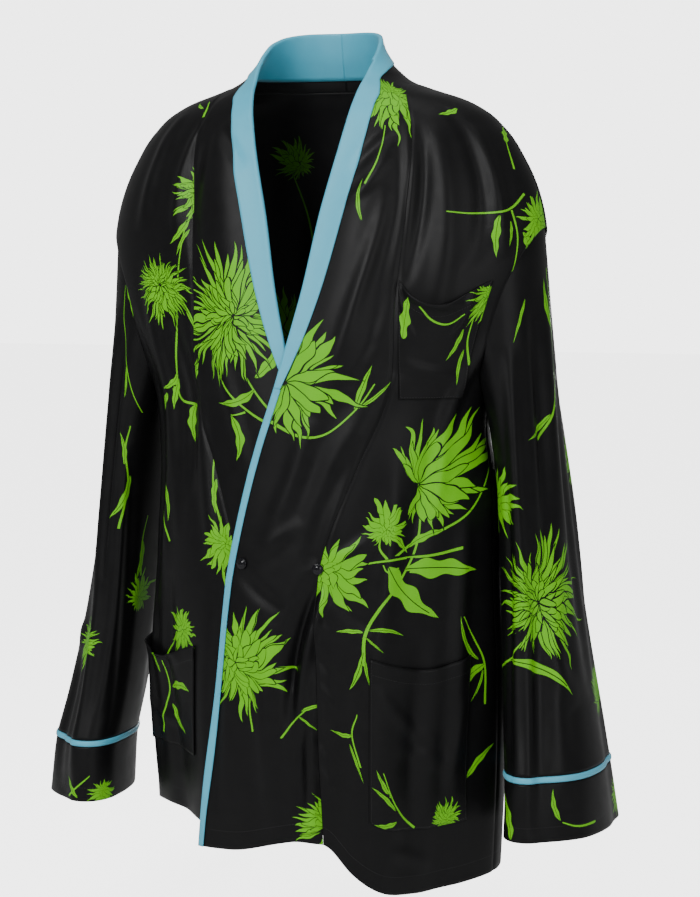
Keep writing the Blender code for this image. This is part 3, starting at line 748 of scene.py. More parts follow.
def pocket_grid(name, side, near, far_low, far_high, bottom, top, droop, gape):
    """A patch moved out from its panel's points; the middle of its open top sinks and stands off."""
    up = np.linspace(0.0, 1.0, POCKET_FINE_ROWS + 1)[:, None]
    across = np.linspace(0.0, 1.0, POCKET_FINE_COLUMNS + 1)[None, :]

    def side_places(sideways, heights):
        panel_near, panel_far = front_angles(heights)
        return column_at((angle_at(sideways, heights) - panel_near) / (panel_far - panel_near), FRONT_COLUMNS)

    side_heights = bottom + (top - bottom) * up
    first = side_places(near, side_heights)
    last = side_places(far_low + (far_high - far_low) * up, side_heights)
    slack = np.sin(np.pi * across) ** POCKET_SLACK_POWER
    heights = bottom + (top - droop * slack - bottom) * up
    rows = np.interp(heights, panel_heights(), np.arange(len(panel_heights())))
    base = columns_round(side, on_grid(front_grid(side), rows, first + (last - first) * across))
    loose = gape * columns_round(side, slack * up**POCKET_GAPE_POWER)
    hem_share = 1 - POCKET_HEM / (top - bottom)
    hem = POCKET_HEM_RISE * ease(hem_share - POCKET_HEM_STEP, hem_share + POCKET_HEM_STEP, up)
    places = cloth_places(base)
    rolls = np.maximum(crease_depth(POCKET_CREASES[name], places[..., 0], places[..., 1], 1.0, False), 0.0)
    return base + outward(base) * (POCKET_GAP + POCKET_CLOTH + loose + hem + rolls)[..., None]


# Columns of points on each leaf of a folded trim, and steps in its turn round the edge
FACING_LEAF_COLUMNS = 10
PIPING_LEAF_COLUMNS = 4
ROUND_STEPS = 8


def edge_trim_grid(side, rows, outside, inside, leaf_columns):
    """Blue cloth folded over the band's free edge: a leaf inside, a round turn and a leaf outside."""
    reach = LYING_GAP + TRIM_CLOTH
    leaf = np.linspace(0.0, 1.0, leaf_columns + 1)[None, :]
    grid = band_grid(side)

    def band_under(shares):
        base = on_grid(grid, rows[:, None], column_at(shares[:, None] * leaf, BAND_COLUMNS))
        return base, columns_round(side, outward(columns_round(side, base)))

    outer_base, outer_normal = band_under(outside)
    inner_base, inner_normal = band_under(inside)
    outer_leaf = outer_base + reach * outer_normal
    inner_leaf = inner_base - (CLOTH + reach) * inner_normal
    edge = outer_base[:, 0]
    normal = outer_normal[:, 0]
    away = edge - outer_base[:, 1]
    away -= normal * np.sum(away * normal, axis=-1, keepdims=True)
    away /= np.linalg.norm(away, axis=-1, keepdims=True)
    radius = CLOTH / 2 + reach
    middle = edge - normal * CLOTH / 2
    tilts = np.pi * (np.linspace(0.0, 1.0, ROUND_STEPS + 1) - 0.5)
    turn = [middle + radius * (math.sin(tilt) * normal + math.cos(tilt) * away) for tilt in tilts]
    trim = np.concatenate([inner_leaf[:, :0:-1], np.stack(turn, axis=1), outer_leaf[:, 1:]], axis=1)
    return columns_round(side, trim)


def row_at(heights, height):
    """The place of a height among rows, between two of them where it has to be."""
    return float(np.interp(height, heights, np.arange(len(heights))))


def facing_grid(side):
    heights = band_rows(side)["edge_height"]
    first = row_at(heights, FACING_LOWEST)
    rows = np.concatenate([[first], np.arange(math.ceil(first), len(heights))])
    read = np.interp(rows, np.arange(len(heights)), heights)
    outside = smooth_read(FACING, FACING_COLUMNS, "edge_height", "outside", read)
    inside = smooth_read(FACING, FACING_COLUMNS, "edge_height", "inside", read)
    return edge_trim_grid(side, rows, outside, inside, FACING_LEAF_COLUMNS)


def piping_grid(side):
    heights = band_rows(side)["edge_height"]
    last = row_at(heights, PIPING_HIGHEST)
    rows = np.concatenate([np.arange(math.ceil(last)), [last]])
    grid = band_grid(side)
    share = PIPING_WIDTH / np.linalg.norm(on_grid(grid, rows, BAND_COLUMNS) - on_grid(grid, rows, 0), axis=-1)
    return edge_trim_grid(side, rows, share, share, PIPING_LEAF_COLUMNS)


def front_middle(side):
    """The place among its columns of a front panel's upright middle line, as if it had no armhole."""
    near, far = front_angles(panel_heights())
    columns = column_at((90.0 - near) / 2 / (far - near), FRONT_COLUMNS)
    return columns if side > 0 else FRONT_COLUMNS - columns


def cloth_places(grid, middle=None):
    """Where each point lies on the flat cloth: metres across from the middle line and up from the hem.
    The middle line is the middle column, or has the given place in each row."""
    rows = np.arange(len(grid))
    if middle is None:
        middle = np.full(len(grid), grid.shape[1] // 2)
    steps = np.linalg.norm(np.diff(grid, axis=1), axis=-1)
    across = np.concatenate([np.zeros((len(grid), 1)), np.cumsum(steps, axis=1)], axis=1)
    across = across - on_grid(across[..., None], rows, middle)
    up = travelled_along(on_grid(grid, rows, middle))
    return np.stack([across, np.broadcast_to(up[:, None], across.shape)], axis=-1)


# The print. Each motif lies on one piece, at metres across from its middle line and up from its hem.
# Flowers are of four kinds: dense heads, balls, fans and stars.
# Columns of the flowers: piece, across, up, radius, turn, lean, kind, seed
DENSE, BALL, FAN, STAR = 0.1, 0.3, 0.5, 0.9
FLOWERS = (
    ("band_right", 0.004, 0.582, 0.104, 175.0, 0.15, DENSE, 1),
    ("front_right", 0.096, 0.705, 0.042, -80.0, 0.45, BALL, 2),
    ("front_right", 0.063, 0.589, 0.058, 20.0, 0.25, DENSE, 3),
    ("front_right", 0.104, 0.302, 0.046, 40.0, 0.10, STAR, 4),
    ("front_right", 0.026, 0.200, 0.036, -60.0, 0.30, STAR, 5),
    ("band_left", -0.048, 0.516, 0.094, 95.0, 0.12, FAN, 6),
    ("band_left", -0.022, 0.208, 0.080, 110.0, 0.15, BALL, 7),
    ("band_left", 0.010, 0.832, 0.056, 0.0, 0.45, BALL, 8),
    ("band_left", 0.072, 0.030, 0.042, -100.0, 0.50, BALL, 9),
    ("front_left", 0.016, 0.470, 0.090, 116.0, 0.44, FAN, 10),
    ("front_left", -0.051, 0.416, 0.034, 178.0, 0.40, STAR, 11),
    ("front_left", -0.112, 0.352, 0.066, 15.0, 0.05, STAR, 12),
    ("front_left", 0.062, 0.744, 0.046, 60.0, 0.30, STAR, 13),
    ("pocket_chest", 0.058, 0.086, 0.030, -70.0, 0.40, BALL, 14),
    ("pocket_hip_left", 0.030, 0.014, 0.026, 180.0, 0.35, BALL, 15),
    ("sleeve_left", 0.006, 0.192, 0.098, 95.0, 0.15, DENSE, 16),
    ("sleeve_left", -0.064, 0.302, 0.052, 70.0, 0.20, STAR, 17),
    ("sleeve_left", 0.150, 0.330, 0.058, 30.0, 0.20, DENSE, 18),
    ("sleeve_left", 0.120, 0.080, 0.044, 200.0, 0.40, FAN, 19),
    ("sleeve_left", -0.170, 0.140, 0.052, 100.0, 0.30, STAR, 20),
    ("cuff_left", 0.150, 0.020, 0.036, 10.0, 0.30, BALL, 21),
    ("sleeve_right", 0.104, 0.172, 0.034, 120.0, 0.30, STAR, 22),
    ("sleeve_right", -0.060, 0.420, 0.058, 60.0, 0.30, DENSE, 23),
    ("sleeve_right", -0.120, 0.190, 0.062, 150.0, 0.45, FAN, 24),
    ("sleeve_right", 0.010, 0.110, 0.040, -20.0, 0.20, BALL, 25),
    ("cuff_right", 0.070, 0.004, 0.026, 30.0, 0.30, STAR, 26),
    ("back", -0.110, 0.690, 0.078, 175.0, 0.20, DENSE, 27),
    ("back", 0.120, 0.560, 0.074, 100.0, 0.45, FAN, 28),
    ("back", -0.020, 0.430, 0.056, 20.0, 0.10, STAR, 29),
    ("back", -0.190, 0.330, 0.066, 140.0, 0.40, DENSE, 30),
    ("back", 0.190, 0.260, 0.060, 60.0, 0.30, BALL, 31),
    ("back", 0.010, 0.150, 0.072, 200.0, 0.45, FAN, 32),
    ("back", -0.220, 0.090, 0.048, 10.0, 0.20, STAR, 33),
    ("back", 0.080, 0.770, 0.036, 120.0, 0.40, BALL, 34),
)
# Columns of the leaves: piece, across, up, length, turn, breadth, bow, seed
LEAVES = (
    ("band_right", 0.026, 0.500, 0.056, 48.0, 0.34, -0.10, 1),
    ("band_right", 0.022, 0.487, 0.052, 190.0, 0.30, 0.12, 2),
    ("band_right", -0.014, 0.462, 0.054, 258.0, 0.32, 0.14, 3),
    ("band_right", -0.050, 0.530, 0.036, 236.0, 0.34, 0.05, 4),
    ("front_right", 0.102, 0.679, 0.040, 230.0, 0.30, 0.06, 5),
    ("front_right", 0.103, 0.665, 0.034, 240.0, 0.22, -0.04, 6),
    ("front_right", 0.085, 0.589, 0.050, -68.0, 0.16, 0.08, 7),
    ("front_right", 0.057, 0.497, 0.034, 214.0, 0.32, 0.10, 8),
    ("front_right", 0.057, 0.492, 0.042, 246.0, 0.32, -0.05, 9),
    ("front_right", 0.036, 0.474, 0.040, 226.0, 0.32, 0.04, 10),
    ("front_right", 0.074, 0.462, 0.046, 258.0, 0.38, -0.12, 11),
    ("front_right", 0.000, 0.372, 0.050, 276.0, 0.22, 0.10, 12),
    ("front_right", 0.096, 0.378, 0.040, 262.0, 0.26, -0.08, 13),
    ("front_right", 0.044, 0.819, 0.026, 150.0, 0.22, 0.06, 14),
    ("front_right", 0.052, 0.823, 0.022, 80.0, 0.22, 0.00, 15),
    ("pocket_hip_right", 0.012, 0.066, 0.042, -10.0, 0.32, 0.10, 16),
    ("pocket_hip_right", 0.010, 0.046, 0.044, -42.0, 0.26, -0.06, 17),
    ("pocket_hip_right", -0.004, 0.080, 0.040, 96.0, 0.20, 0.08, 18),
    ("band_left", 0.030, 0.496, 0.052, 84.0, 0.22, 0.05, 19),
    ("band_left", 0.033, 0.498, 0.044, 54.0, 0.16, -0.04, 20),
    ("band_left", 0.050, 0.150, 0.032, 20.0, 0.20, 0.05, 21),
    ("band_left", 0.046, 0.144, 0.026, -30.0, 0.18, 0.00, 22),
    ("band_left", 0.000, 0.700, 0.046, 100.0, 0.16, 0.10, 23),
    ("front_left", -0.022, 0.360, 0.092, -4.0, 0.36, 0.03, 24),
    ("front_left", -0.044, 0.364, 0.088, -42.0, 0.42, -0.08, 25),
    ("front_left", -0.068, 0.289, 0.032, 194.0, 0.24, -0.05, 26),
    ("front_left", -0.062, 0.292, 0.042, -6.0, 0.18, 0.10, 27),
    ("front_left", -0.066, 0.284, 0.026, -36.0, 0.16, 0.00, 28),
    ("front_left", -0.068, 0.266, 0.054, 250.0, 0.18, 0.05, 29),
    ("front_left", -0.067, 0.264, 0.040, 280.0, 0.14, -0.04, 30),
    ("front_left", -0.020, 0.384, 0.046, 22.0, 0.30, 0.08, 31),
    ("front_left", -0.052, 0.402, 0.040, -38.0, 0.30, 0.06, 32),
    ("front_left", 0.084, 0.246, 0.060, 212.0, 0.32, -0.05, 33),
    ("front_left", 0.082, 0.242, 0.040, 244.0, 0.14, 0.08, 34),
    ("front_left", 0.076, 0.252, 0.060, 118.0, 0.16, 0.12, 35),
    ("front_left", -0.086, 0.162, 0.034, 204.0, 0.22, 0.08, 36),
    ("front_left", -0.090, 0.150, 0.040, 296.0, 0.16, 0.00, 37),
    ("front_left", -0.004, 0.887, 0.030, 200.0, 0.34, 0.08, 38),
    ("front_left", 0.031, 0.838, 0.026, 62.0, 0.46, 0.05, 40),
    ("front_left", -0.002, 0.754, 0.046, 268.0, 0.32, -0.08, 41),
    ("front_left", 0.012, 0.748, 0.028, 266.0, 0.20, 0.04, 42),
    ("front_left", 0.027, 0.736, 0.034, 287.0, 0.40, 0.08, 39),
    ("front_left", 0.082, 0.512, 0.036, 132.0, 0.30, 0.06, 43),
    ("front_left", 0.060, 0.120, 0.050, 40.0, 0.26, 0.06, 44),
    ("pocket_chest", -0.036, 0.056, 0.046, 84.0, 0.46, 0.06, 45),
    ("pocket_chest", 0.034, 0.070, 0.034, 236.0, 0.26, 0.05, 46),
    ("pocket_chest", 0.036, 0.048, 0.036, 262.0, 0.20, -0.06, 47),
    ("pocket_hip_left", -0.040, 0.034, 0.034, 128.0, 0.28, 0.05, 48),
    ("pocket_hip_left", -0.036, 0.022, 0.036, 150.0, 0.24, -0.08, 49),
    ("pocket_hip_left", -0.034, 0.010, 0.032, 196.0, 0.26, 0.06, 50),
    ("sleeve_left", 0.046, 0.470, 0.052, 98.0, 0.26, 0.10, 51),
    ("sleeve_left", 0.030, 0.388, 0.046, 206.0, 0.22, 0.06, 52),
    ("sleeve_left", -0.056, 0.126, 0.096, -26.0, 0.20, 0.12, 53),
    ("sleeve_left", 0.000, 0.520, 0.040, 230.0, 0.26, 0.00, 54),
    ("sleeve_left", 0.110, 0.450, 0.070, 60.0, 0.30, 0.08, 55),
    ("sleeve_left", 0.130, 0.200, 0.080, 300.0, 0.32, -0.06, 56),
    ("sleeve_left", -0.140, 0.420, 0.076, 110.0, 0.26, 0.08, 57),
    ("cuff_left", 0.008, 0.022, 0.036, 104.0, 0.26, 0.10, 58),
    ("cuff_left", -0.050, 0.002, 0.050, 112.0, 0.36, -0.08, 59),
    ("cuff_left", -0.140, 0.004, 0.060, 60.0, 0.28, 0.08, 60),
    ("sleeve_right", 0.034, 0.566, 0.042, -6.0, 0.46, 0.03, 61),
    ("sleeve_right", 0.052, 0.478, 0.050, 266.0, 0.14, 0.03, 62),
    ("sleeve_right", 0.060, 0.316, 0.060, 246.0, 0.26, 0.12, 63),
    ("sleeve_right", 0.050, 0.330, 0.044, 100.0, 0.20, -0.06, 64),
    ("sleeve_right", 0.094, 0.232, 0.050, 260.0, 0.26, 0.08, 65),
    ("sleeve_right", -0.020, 0.270, 0.080, 120.0, 0.30, 0.06, 66),
    ("sleeve_right", -0.150, 0.330, 0.076, 250.0, 0.32, -0.08, 67),
    ("cuff_right", 0.036, 0.004, 0.030, 130.0, 0.30, 0.05, 68),
    ("cuff_right", -0.080, 0.002, 0.056, 70.0, 0.30, 0.08, 69),
    ("back", -0.060, 0.600, 0.090, 310.0, 0.32, 0.06, 70),
    ("back", -0.130, 0.590, 0.074, 240.0, 0.28, -0.08, 71),
    ("back", 0.040, 0.500, 0.080, 190.0, 0.30, 0.08, 72),
    ("back", 0.060, 0.640, 0.050, 110.0, 0.24, 0.00, 73),
    ("back", -0.080, 0.400, 0.086, 200.0, 0.34, 0.06, 74),
    ("back", 0.060, 0.360, 0.080, 340.0, 0.30, -0.06, 75),
    ("back", -0.080, 0.250, 0.070, 60.0, 0.28, 0.10, 76),
    ("back", 0.120, 0.180, 0.078, 220.0, 0.32, 0.06, 77),
    ("back", -0.120, 0.150, 0.064, 130.0, 0.26, 0.08, 78),
    ("back", 0.220, 0.420, 0.070, 100.0, 0.30, 0.06, 79),
    ("back", -0.230, 0.480, 0.066, 80.0, 0.28, -0.06, 80),
    ("back", 0.200, 0.100, 0.056, 290.0, 0.26, 0.05, 81),
)
# Columns of the stems: piece, half width, points
STEMS = (
    ("band_right", 0.0017, ((0.040, 0.440), (0.014, 0.458), (-0.008, 0.486), (-0.024, 0.530))),
    ("band_right", 0.0017, ((0.042, 0.446), (0.026, 0.476), (0.012, 0.512))),
    ("band_right", 0.0012, ((0.006, 0.464), (-0.006, 0.462), (-0.014, 0.462))),
    ("front_right", 0.0016, ((0.078, 0.460), (0.052, 0.470), (0.060, 0.512), (0.080, 0.577), (0.090, 0.630),
                             (0.097, 0.666))),
    ("front_right", 0.0014, ((0.006, 0.300), (-0.006, 0.336), (0.000, 0.372), (0.010, 0.400))),
    ("front_right", 0.0014, ((0.096, 0.330), (0.090, 0.360), (0.096, 0.400), (0.110, 0.430))),
    ("front_right", 0.0012, ((0.060, 0.803), (0.050, 0.819), (0.036, 0.835))),
    ("front_right", 0.0014, ((-0.010, 0.130), (-0.004, 0.170), (0.016, 0.196))),
    ("pocket_hip_right", 0.0015, ((-0.006, 0.010), (0.000, 0.040), (0.008, 0.064), (0.004, 0.096))),
    ("band_left", 0.0017, ((-0.060, 0.470), (-0.018, 0.458), (0.010, 0.464), (0.030, 0.494), (0.042, 0.528))),
    ("band_left", 0.0013, ((0.026, 0.120), (0.040, 0.138), (0.060, 0.156))),
    ("band_left", 0.0013, ((-0.010, 0.130), (-0.016, 0.160), (-0.010, 0.190))),
    ("band_left", 0.0012, ((-0.004, 0.740), (0.004, 0.770), (0.006, 0.810))),
    ("front_left", 0.0020, ((-0.068, 0.250), (-0.066, 0.286), (-0.050, 0.318), (-0.028, 0.346),
                            (-0.012, 0.378), (-0.010, 0.414), (-0.022, 0.460))),
    ("front_left", 0.0017, ((0.046, 0.380), (0.010, 0.374), (-0.050, 0.370), (-0.104, 0.358))),
    ("front_left", 0.0017, ((-0.050, 0.366), (-0.014, 0.388), (0.040, 0.412), (0.064, 0.440), (0.084, 0.496),
                            (0.086, 0.536))),
    ("front_left", 0.0014, ((-0.046, 0.372), (-0.056, 0.384), (-0.056, 0.400))),
    ("front_left", 0.0013, ((-0.030, 0.362), (-0.044, 0.358), (-0.050, 0.366))),
    ("front_left", 0.0015, ((0.084, 0.200), (0.084, 0.246), (0.070, 0.276), (0.052, 0.304))),
    ("front_left", 0.0013, ((-0.076, 0.130), (-0.086, 0.162), (-0.078, 0.190))),
    ("front_left", 0.0014, ((0.034, 0.778), (0.010, 0.760), (-0.030, 0.756), (-0.062, 0.758))),
    ("front_left", 0.0012, ((0.014, 0.762), (0.020, 0.730), (0.018, 0.690))),
    ("front_left", 0.0013, ((0.028, 0.806), (0.029, 0.824), (0.031, 0.840))),
    ("pocket_chest", 0.0015, ((-0.016, 0.100), (-0.004, 0.088), (0.014, 0.082), (0.034, 0.086))),
    ("pocket_chest", 0.0014, ((0.044, 0.030), (0.040, 0.056), (0.048, 0.080))),
    ("pocket_hip_left", 0.0014, ((-0.010, 0.002), (-0.026, 0.016), (-0.040, 0.034), (-0.052, 0.060))),
    ("sleeve_left", 0.0016, ((0.010, 0.364), (0.034, 0.390), (0.044, 0.430), (0.044, 0.480), (0.050, 0.530))),
    ("sleeve_left", 0.0016, ((-0.090, 0.110), (-0.056, 0.126), (-0.030, 0.150))),
    ("sleeve_left", 0.0016, ((0.130, 0.120), (0.134, 0.200), (0.140, 0.280))),
    ("sleeve_left", 0.0016, ((-0.160, 0.200), (-0.146, 0.300), (-0.136, 0.440))),
    ("cuff_left", 0.0014, ((0.060, 0.014), (0.030, 0.014), (0.010, 0.020))),
    ("sleeve_right", 0.0016, ((0.078, 0.430), (0.056, 0.470), (0.036, 0.520), (0.034, 0.560))),
    ("sleeve_right", 0.0016, ((0.050, 0.250), (0.058, 0.300), (0.050, 0.350), (0.056, 0.390))),
    ("sleeve_right", 0.0015, ((0.096, 0.190), (0.092, 0.230), (0.098, 0.262))),
    ("sleeve_right", 0.0016, ((-0.110, 0.240), (-0.060, 0.300), (-0.050, 0.380))),
    ("cuff_right", 0.0014, ((0.020, 0.004), (0.034, 0.016), (0.050, 0.030))),
    ("back", 0.0018, ((-0.090, 0.460), (-0.080, 0.540), (-0.100, 0.620))),
    ("back", 0.0018, ((0.060, 0.440), (0.080, 0.500), (0.090, 0.560))),
    ("back", 0.0018, ((-0.150, 0.200), (-0.120, 0.270), (-0.040, 0.320), (-0.020, 0.400))),
    ("back", 0.0018, ((0.150, 0.080), (0.120, 0.180), (0.160, 0.240))),
    ("back", 0.0016, ((0.050, 0.620), (0.060, 0.690), (0.078, 0.750))),
    ("back", 0.0016, ((0.200, 0.320), (0.220, 0.420), (0.210, 0.500))),
    ("back", 0.0016, ((-0.220, 0.380), (-0.230, 0.480), (-0.220, 0.550))),
)
FAR_AWAY = 9.0
NOWHERE = (FAR_AWAY, FAR_AWAY, 0.0)
LEAF_HALF_REACH = 0.55
LEAF_MARGIN = 0.06
MOTIF_REACH = 1.3
STEM_SAMPLES = 40
STEM_REACH = 0.006


def turned(places, across, up, degrees):
    """Places seen from a motif: moved to its own origin and turned to its own direction."""
    x = places[..., 0] - across
    y = places[..., 1] - up
    turn = math.radians(degrees)
    return x * math.cos(turn) + y * math.sin(turn), y * math.cos(turn) - x * math.sin(turn)


def flower_places(places, across, up, radius, turn, lean, kind, seed):
    """Places seen from a flower's heart, in shares of the way to its round rim; lean moves the heart
    towards its own +Y."""
    x, y = turned(places, across, up, turn)
    x, y = x / radius, y / radius - lean
    angle = np.arctan2(y, x)
    rim = np.sqrt(1 - (lean * np.cos(angle)) ** 2) - lean * np.sin(angle)
    x, y = x / rim, y / rim
    return np.stack([x, y, np.full(x.shape, seed + kind)], axis=-1), np.hypot(x, y)


def leaf_places(places, across, up, length, turn, breadth, bow, seed):
    """Places along a leaf and across it in units of its length; bow bends its midrib."""
    x, y = turned(places, across, up, turn)
    x, y = x / length, y / length
    y = y - 4 * bow * x * (1 - x)
    distance = np.hypot((x - 0.5) / LEAF_HALF_REACH, y / (0.5 * breadth + LEAF_MARGIN))
    return np.stack([x, y, np.full(x.shape, seed + breadth)], axis=-1), distance


def stem_places(places, half_width, points):
    """Places along a stem and beside it, in metres."""
    knots = np.array(points)
    line = curve_through(knots, np.linspace(0.0, len(knots) - 1.0, STEM_SAMPLES + 1), False)
    best = np.full(places.shape[:-1], np.inf)
    along = np.zeros(best.shape)
    beside = np.full(best.shape, FAR_AWAY)
    for step, (start, end) in enumerate(zip(line, line[1:])):
        run = end - start
        length = np.hypot(*run)
        offset = places - start
        share = (offset @ run) / length**2
        low = -np.inf if step == 0 else 0.0
        high = np.inf if step == STEM_SAMPLES - 1 else 1.0
        nearest = start + np.clip(share, 0.0, 1.0)[..., None] * run
        distance = np.linalg.norm(places - nearest, axis=-1)
        side = (offset[..., 0] * run[1] - offset[..., 1] * run[0]) / length
        closer = distance < best
        best = np.where(closer, distance, best)
        along = np.where(closer, (step + np.clip(share, low, high)) / STEM_SAMPLES, along)
        beside = np.where(closer, np.copysign(np.maximum(distance, np.abs(side)), side), beside)
    return np.stack([along, beside, np.full(best.shape, half_width)], axis=-1), best / STEM_REACH


def on_piece(table, name):
    return [row[1:] for row in table if row[0] == name]


def motif_corners(placed, corner_points):
    """For each face corner, its place on the motif nearest to that face."""
    corners = len(corner_points)
    values = np.tile(NOWHERE, (corners, 1))
    if not placed:
        return values
    face_points = corner_points.reshape(-1, 4)
    reaches = np.stack([distance.reshape(-1)[face_points].min(axis=1) for _, distance in placed])
    nearest = np.repeat(reaches.argmin(axis=0), 4)
    shown = np.repeat(reaches.min(axis=0) < MOTIF_REACH, 4)
    for index, (place, _) in enumerate(placed):
        mine = shown & (nearest == index)
        values[mine] = place.reshape(-1, 3)[corner_points[mine]]
    return values


def add_print(mesh, name, places):
    """The cloth's own flat map, and the places of the motifs that fall on the piece."""
    corner_points = np.empty(len(mesh.loops), dtype=np.int32)
    mesh.loops.foreach_get("vertex_index", corner_points)
    flat = mesh.uv_layers.new(name="cloth")
    flat.data.foreach_set("uv", places.reshape(-1, 2)[corner_points].ravel())
    layers = (
        ("flower", FLOWERS, flower_places),
        ("leaf", LEAVES, leaf_places),
        ("stem", STEMS, stem_places),
    )
    for layer, table, place_motif in layers:
        placed = [place_motif(places, *row) for row in on_piece(table, name)]
        values = motif_corners(placed, corner_points)
        mesh.attributes.new(layer, "FLOAT_VECTOR", "CORNER").data.foreach_set("vector", values.ravel())


MERGE_DISTANCE = 1e-6


def add_object(name, data):
    """A new object at the origin, linked into the scene."""
    made = bpy.data.objects.new(name, data)
    bpy.context.scene.collection.objects.link(made)
    return made


def cloth_shell(name, grid, thickness, materials, ring=False, middle=None):
    """A shell of cloth: the grid is its outer face, and the thickness goes in from there."""
    rows, columns = grid.shape[:2]
    sheet = bmesh.new()
    bmesh.ops.create_grid(sheet, x_segments=columns - 1, y_segments=rows - 1, size=0.5)
    mesh = bpy.data.meshes.new(name)
    sheet.to_mesh(mesh)
    mesh.vertices.foreach_set("co", grid.ravel())
    add_print(mesh, name, cloth_places(grid, middle))
    if ring:
        sheet.clear()
        sheet.from_mesh(mesh)
        bmesh.ops.remove_doubles(sheet, verts=sheet.verts, dist=MERGE_DISTANCE)
        sheet.to_mesh(mesh)
    sheet.free()
    mesh.shade_smooth()
    for material in materials:
        mesh.materials.append(material)
    piece = add_object(name, mesh)
    wall = piece.modifiers.new("cloth", "SOLIDIFY")
    wall.thickness = thickness
    wall.offset = -1.0
    wall.material_offset = len(materials) - 1
    return piece


class Wiring:
    """Adds nodes to a shader tree and links them, so that each sum is one call."""

    def __init__(self, tree):
        self.tree = tree

    def node(self, kind, **settings):
        made = self.tree.nodes.new(kind)
        for name, value in settings.items():
            setattr(made, name, value)
        return made

    def feed(self, socket, value):
        if isinstance(value, bpy.types.NodeSocket):
            self.tree.links.new(value, socket)
        else:
            socket.default_value = value

    def math(self, operation, *values):
        made = self.node("ShaderNodeMath", operation=operation)
        for socket, value in zip(made.inputs, values):
            self.feed(socket, value)
        return made.outputs[0]

    def mix(self, share, first, second):
        """A number between two others."""
        made = self.node("ShaderNodeMix", data_type="FLOAT")
        for name, value in (("Factor", share), ("A", first), ("B", second)):
            self.feed(made.inputs[name], value)
        return made.outputs[0]

    def blend(self, share, first, second):
        """A colour between two others."""
        made = self.node("ShaderNodeMix", data_type="RGBA")
        sockets = [socket for socket in made.inputs if socket.type == "RGBA"]
        self.feed(made.inputs[0], share)
        self.feed(sockets[0], first)
        self.feed(sockets[1], second)
        return next(socket for socket in made.outputs if socket.type == "RGBA")

    def parts(self, vector):
        made = self.node("ShaderNodeSeparateXYZ")
        self.feed(made.inputs[0], vector)
        return made.outputs[0], made.outputs[1], made.outputs[2]

    def vector(self, x, y, z):
        made = self.node("ShaderNodeCombineXYZ")
        for socket, value in zip(made.inputs, (x, y, z)):
            self.feed(socket, value)
        return made.outputs[0]

    def random(self, vector):
        """Three even random numbers that depend on the vector alone."""
        made = self.node("ShaderNodeTexWhiteNoise", noise_dimensions="3D")
        self.feed(made.inputs["Vector"], vector)
        return self.parts(made.outputs["Color"])

    def noise(self, vector, scale, detail=2.0):
        made = self.node("ShaderNodeTexNoise", noise_dimensions="3D")
        self.feed(made.inputs["Vector"], vector)
        self.feed(made.inputs["Scale"], scale)
        self.feed(made.inputs["Detail"], detail)
        return made.outputs[0]

    def group(self, tree, **values):
        made = self.node("ShaderNodeGroup", node_tree=tree)
        for name, value in values.items():
            self.feed(made.inputs[name], value)
        return made.outputs


def new_group(name, inputs, outputs):
    """An empty node group, its wiring and its two ends."""
    tree = bpy.data.node_groups.new(name, "ShaderNodeTree")
    for socket, kind in inputs:
        tree.interface.new_socket(socket, in_out="INPUT", socket_type=kind)
    for socket in outputs:
        tree.interface.new_socket(socket, in_out="OUTPUT", socket_type="NodeSocketFloat")
    wiring = Wiring(tree)
    return wiring, wiring.node("NodeGroupInput").outputs, wiring.node("NodeGroupOutput").inputs


# Rings of petals of a flower head, from the outermost in: how many they are, how long and half as wide,
# how their tips close (1 pointed, less rounder), and whether a fan and a star have them. A ball has all.
# Columns: count, length, half width, tip power, in a fan, in a star
RINGS = (
    (13, 1.00, 0.060, 1.10, True, True),
    (15, 0.89, 0.062, 1.05, True, False),
    (14, 0.77, 0.072, 0.90, True, True),
    (13, 0.65, 0.078, 0.70, True, False),
    (12, 0.53, 0.080, 0.55, False, False),
    (10, 0.41, 0.080, 0.45, False, False),
    (8, 0.30, 0.074, 0.45, False, True),
    (5, 0.18, 0.066, 0.45, False, True),
)
PETAL_SHORTER = 0.30
PETAL_WANDER = 0.42
PETAL_HOOK = 2.0
PETAL_NARROWER = 0.30
PETAL_BASE_POWER = 0.80
BALL_FROM = 0.2
FAN_FROM = 0.4
STAR_FROM = 0.7
DENSE_PETALS = 1.5
STAR_PETAL_WIDER = 0.45
FAN_PETAL_WIDER = 0.05
FAN_BACK = 0.55
RING_TURN = 0.371
RING_TURN_STEP = 0.113
PETAL_DRIFT = 0.30
PETAL_DRIFT_SCALE = 2.3


MOTIF_INPUTS = (("Place", "NodeSocketVector"), ("Line", "NodeSocketFloat"))
MOTIF_OUTPUTS = ("Fill", "Ink")


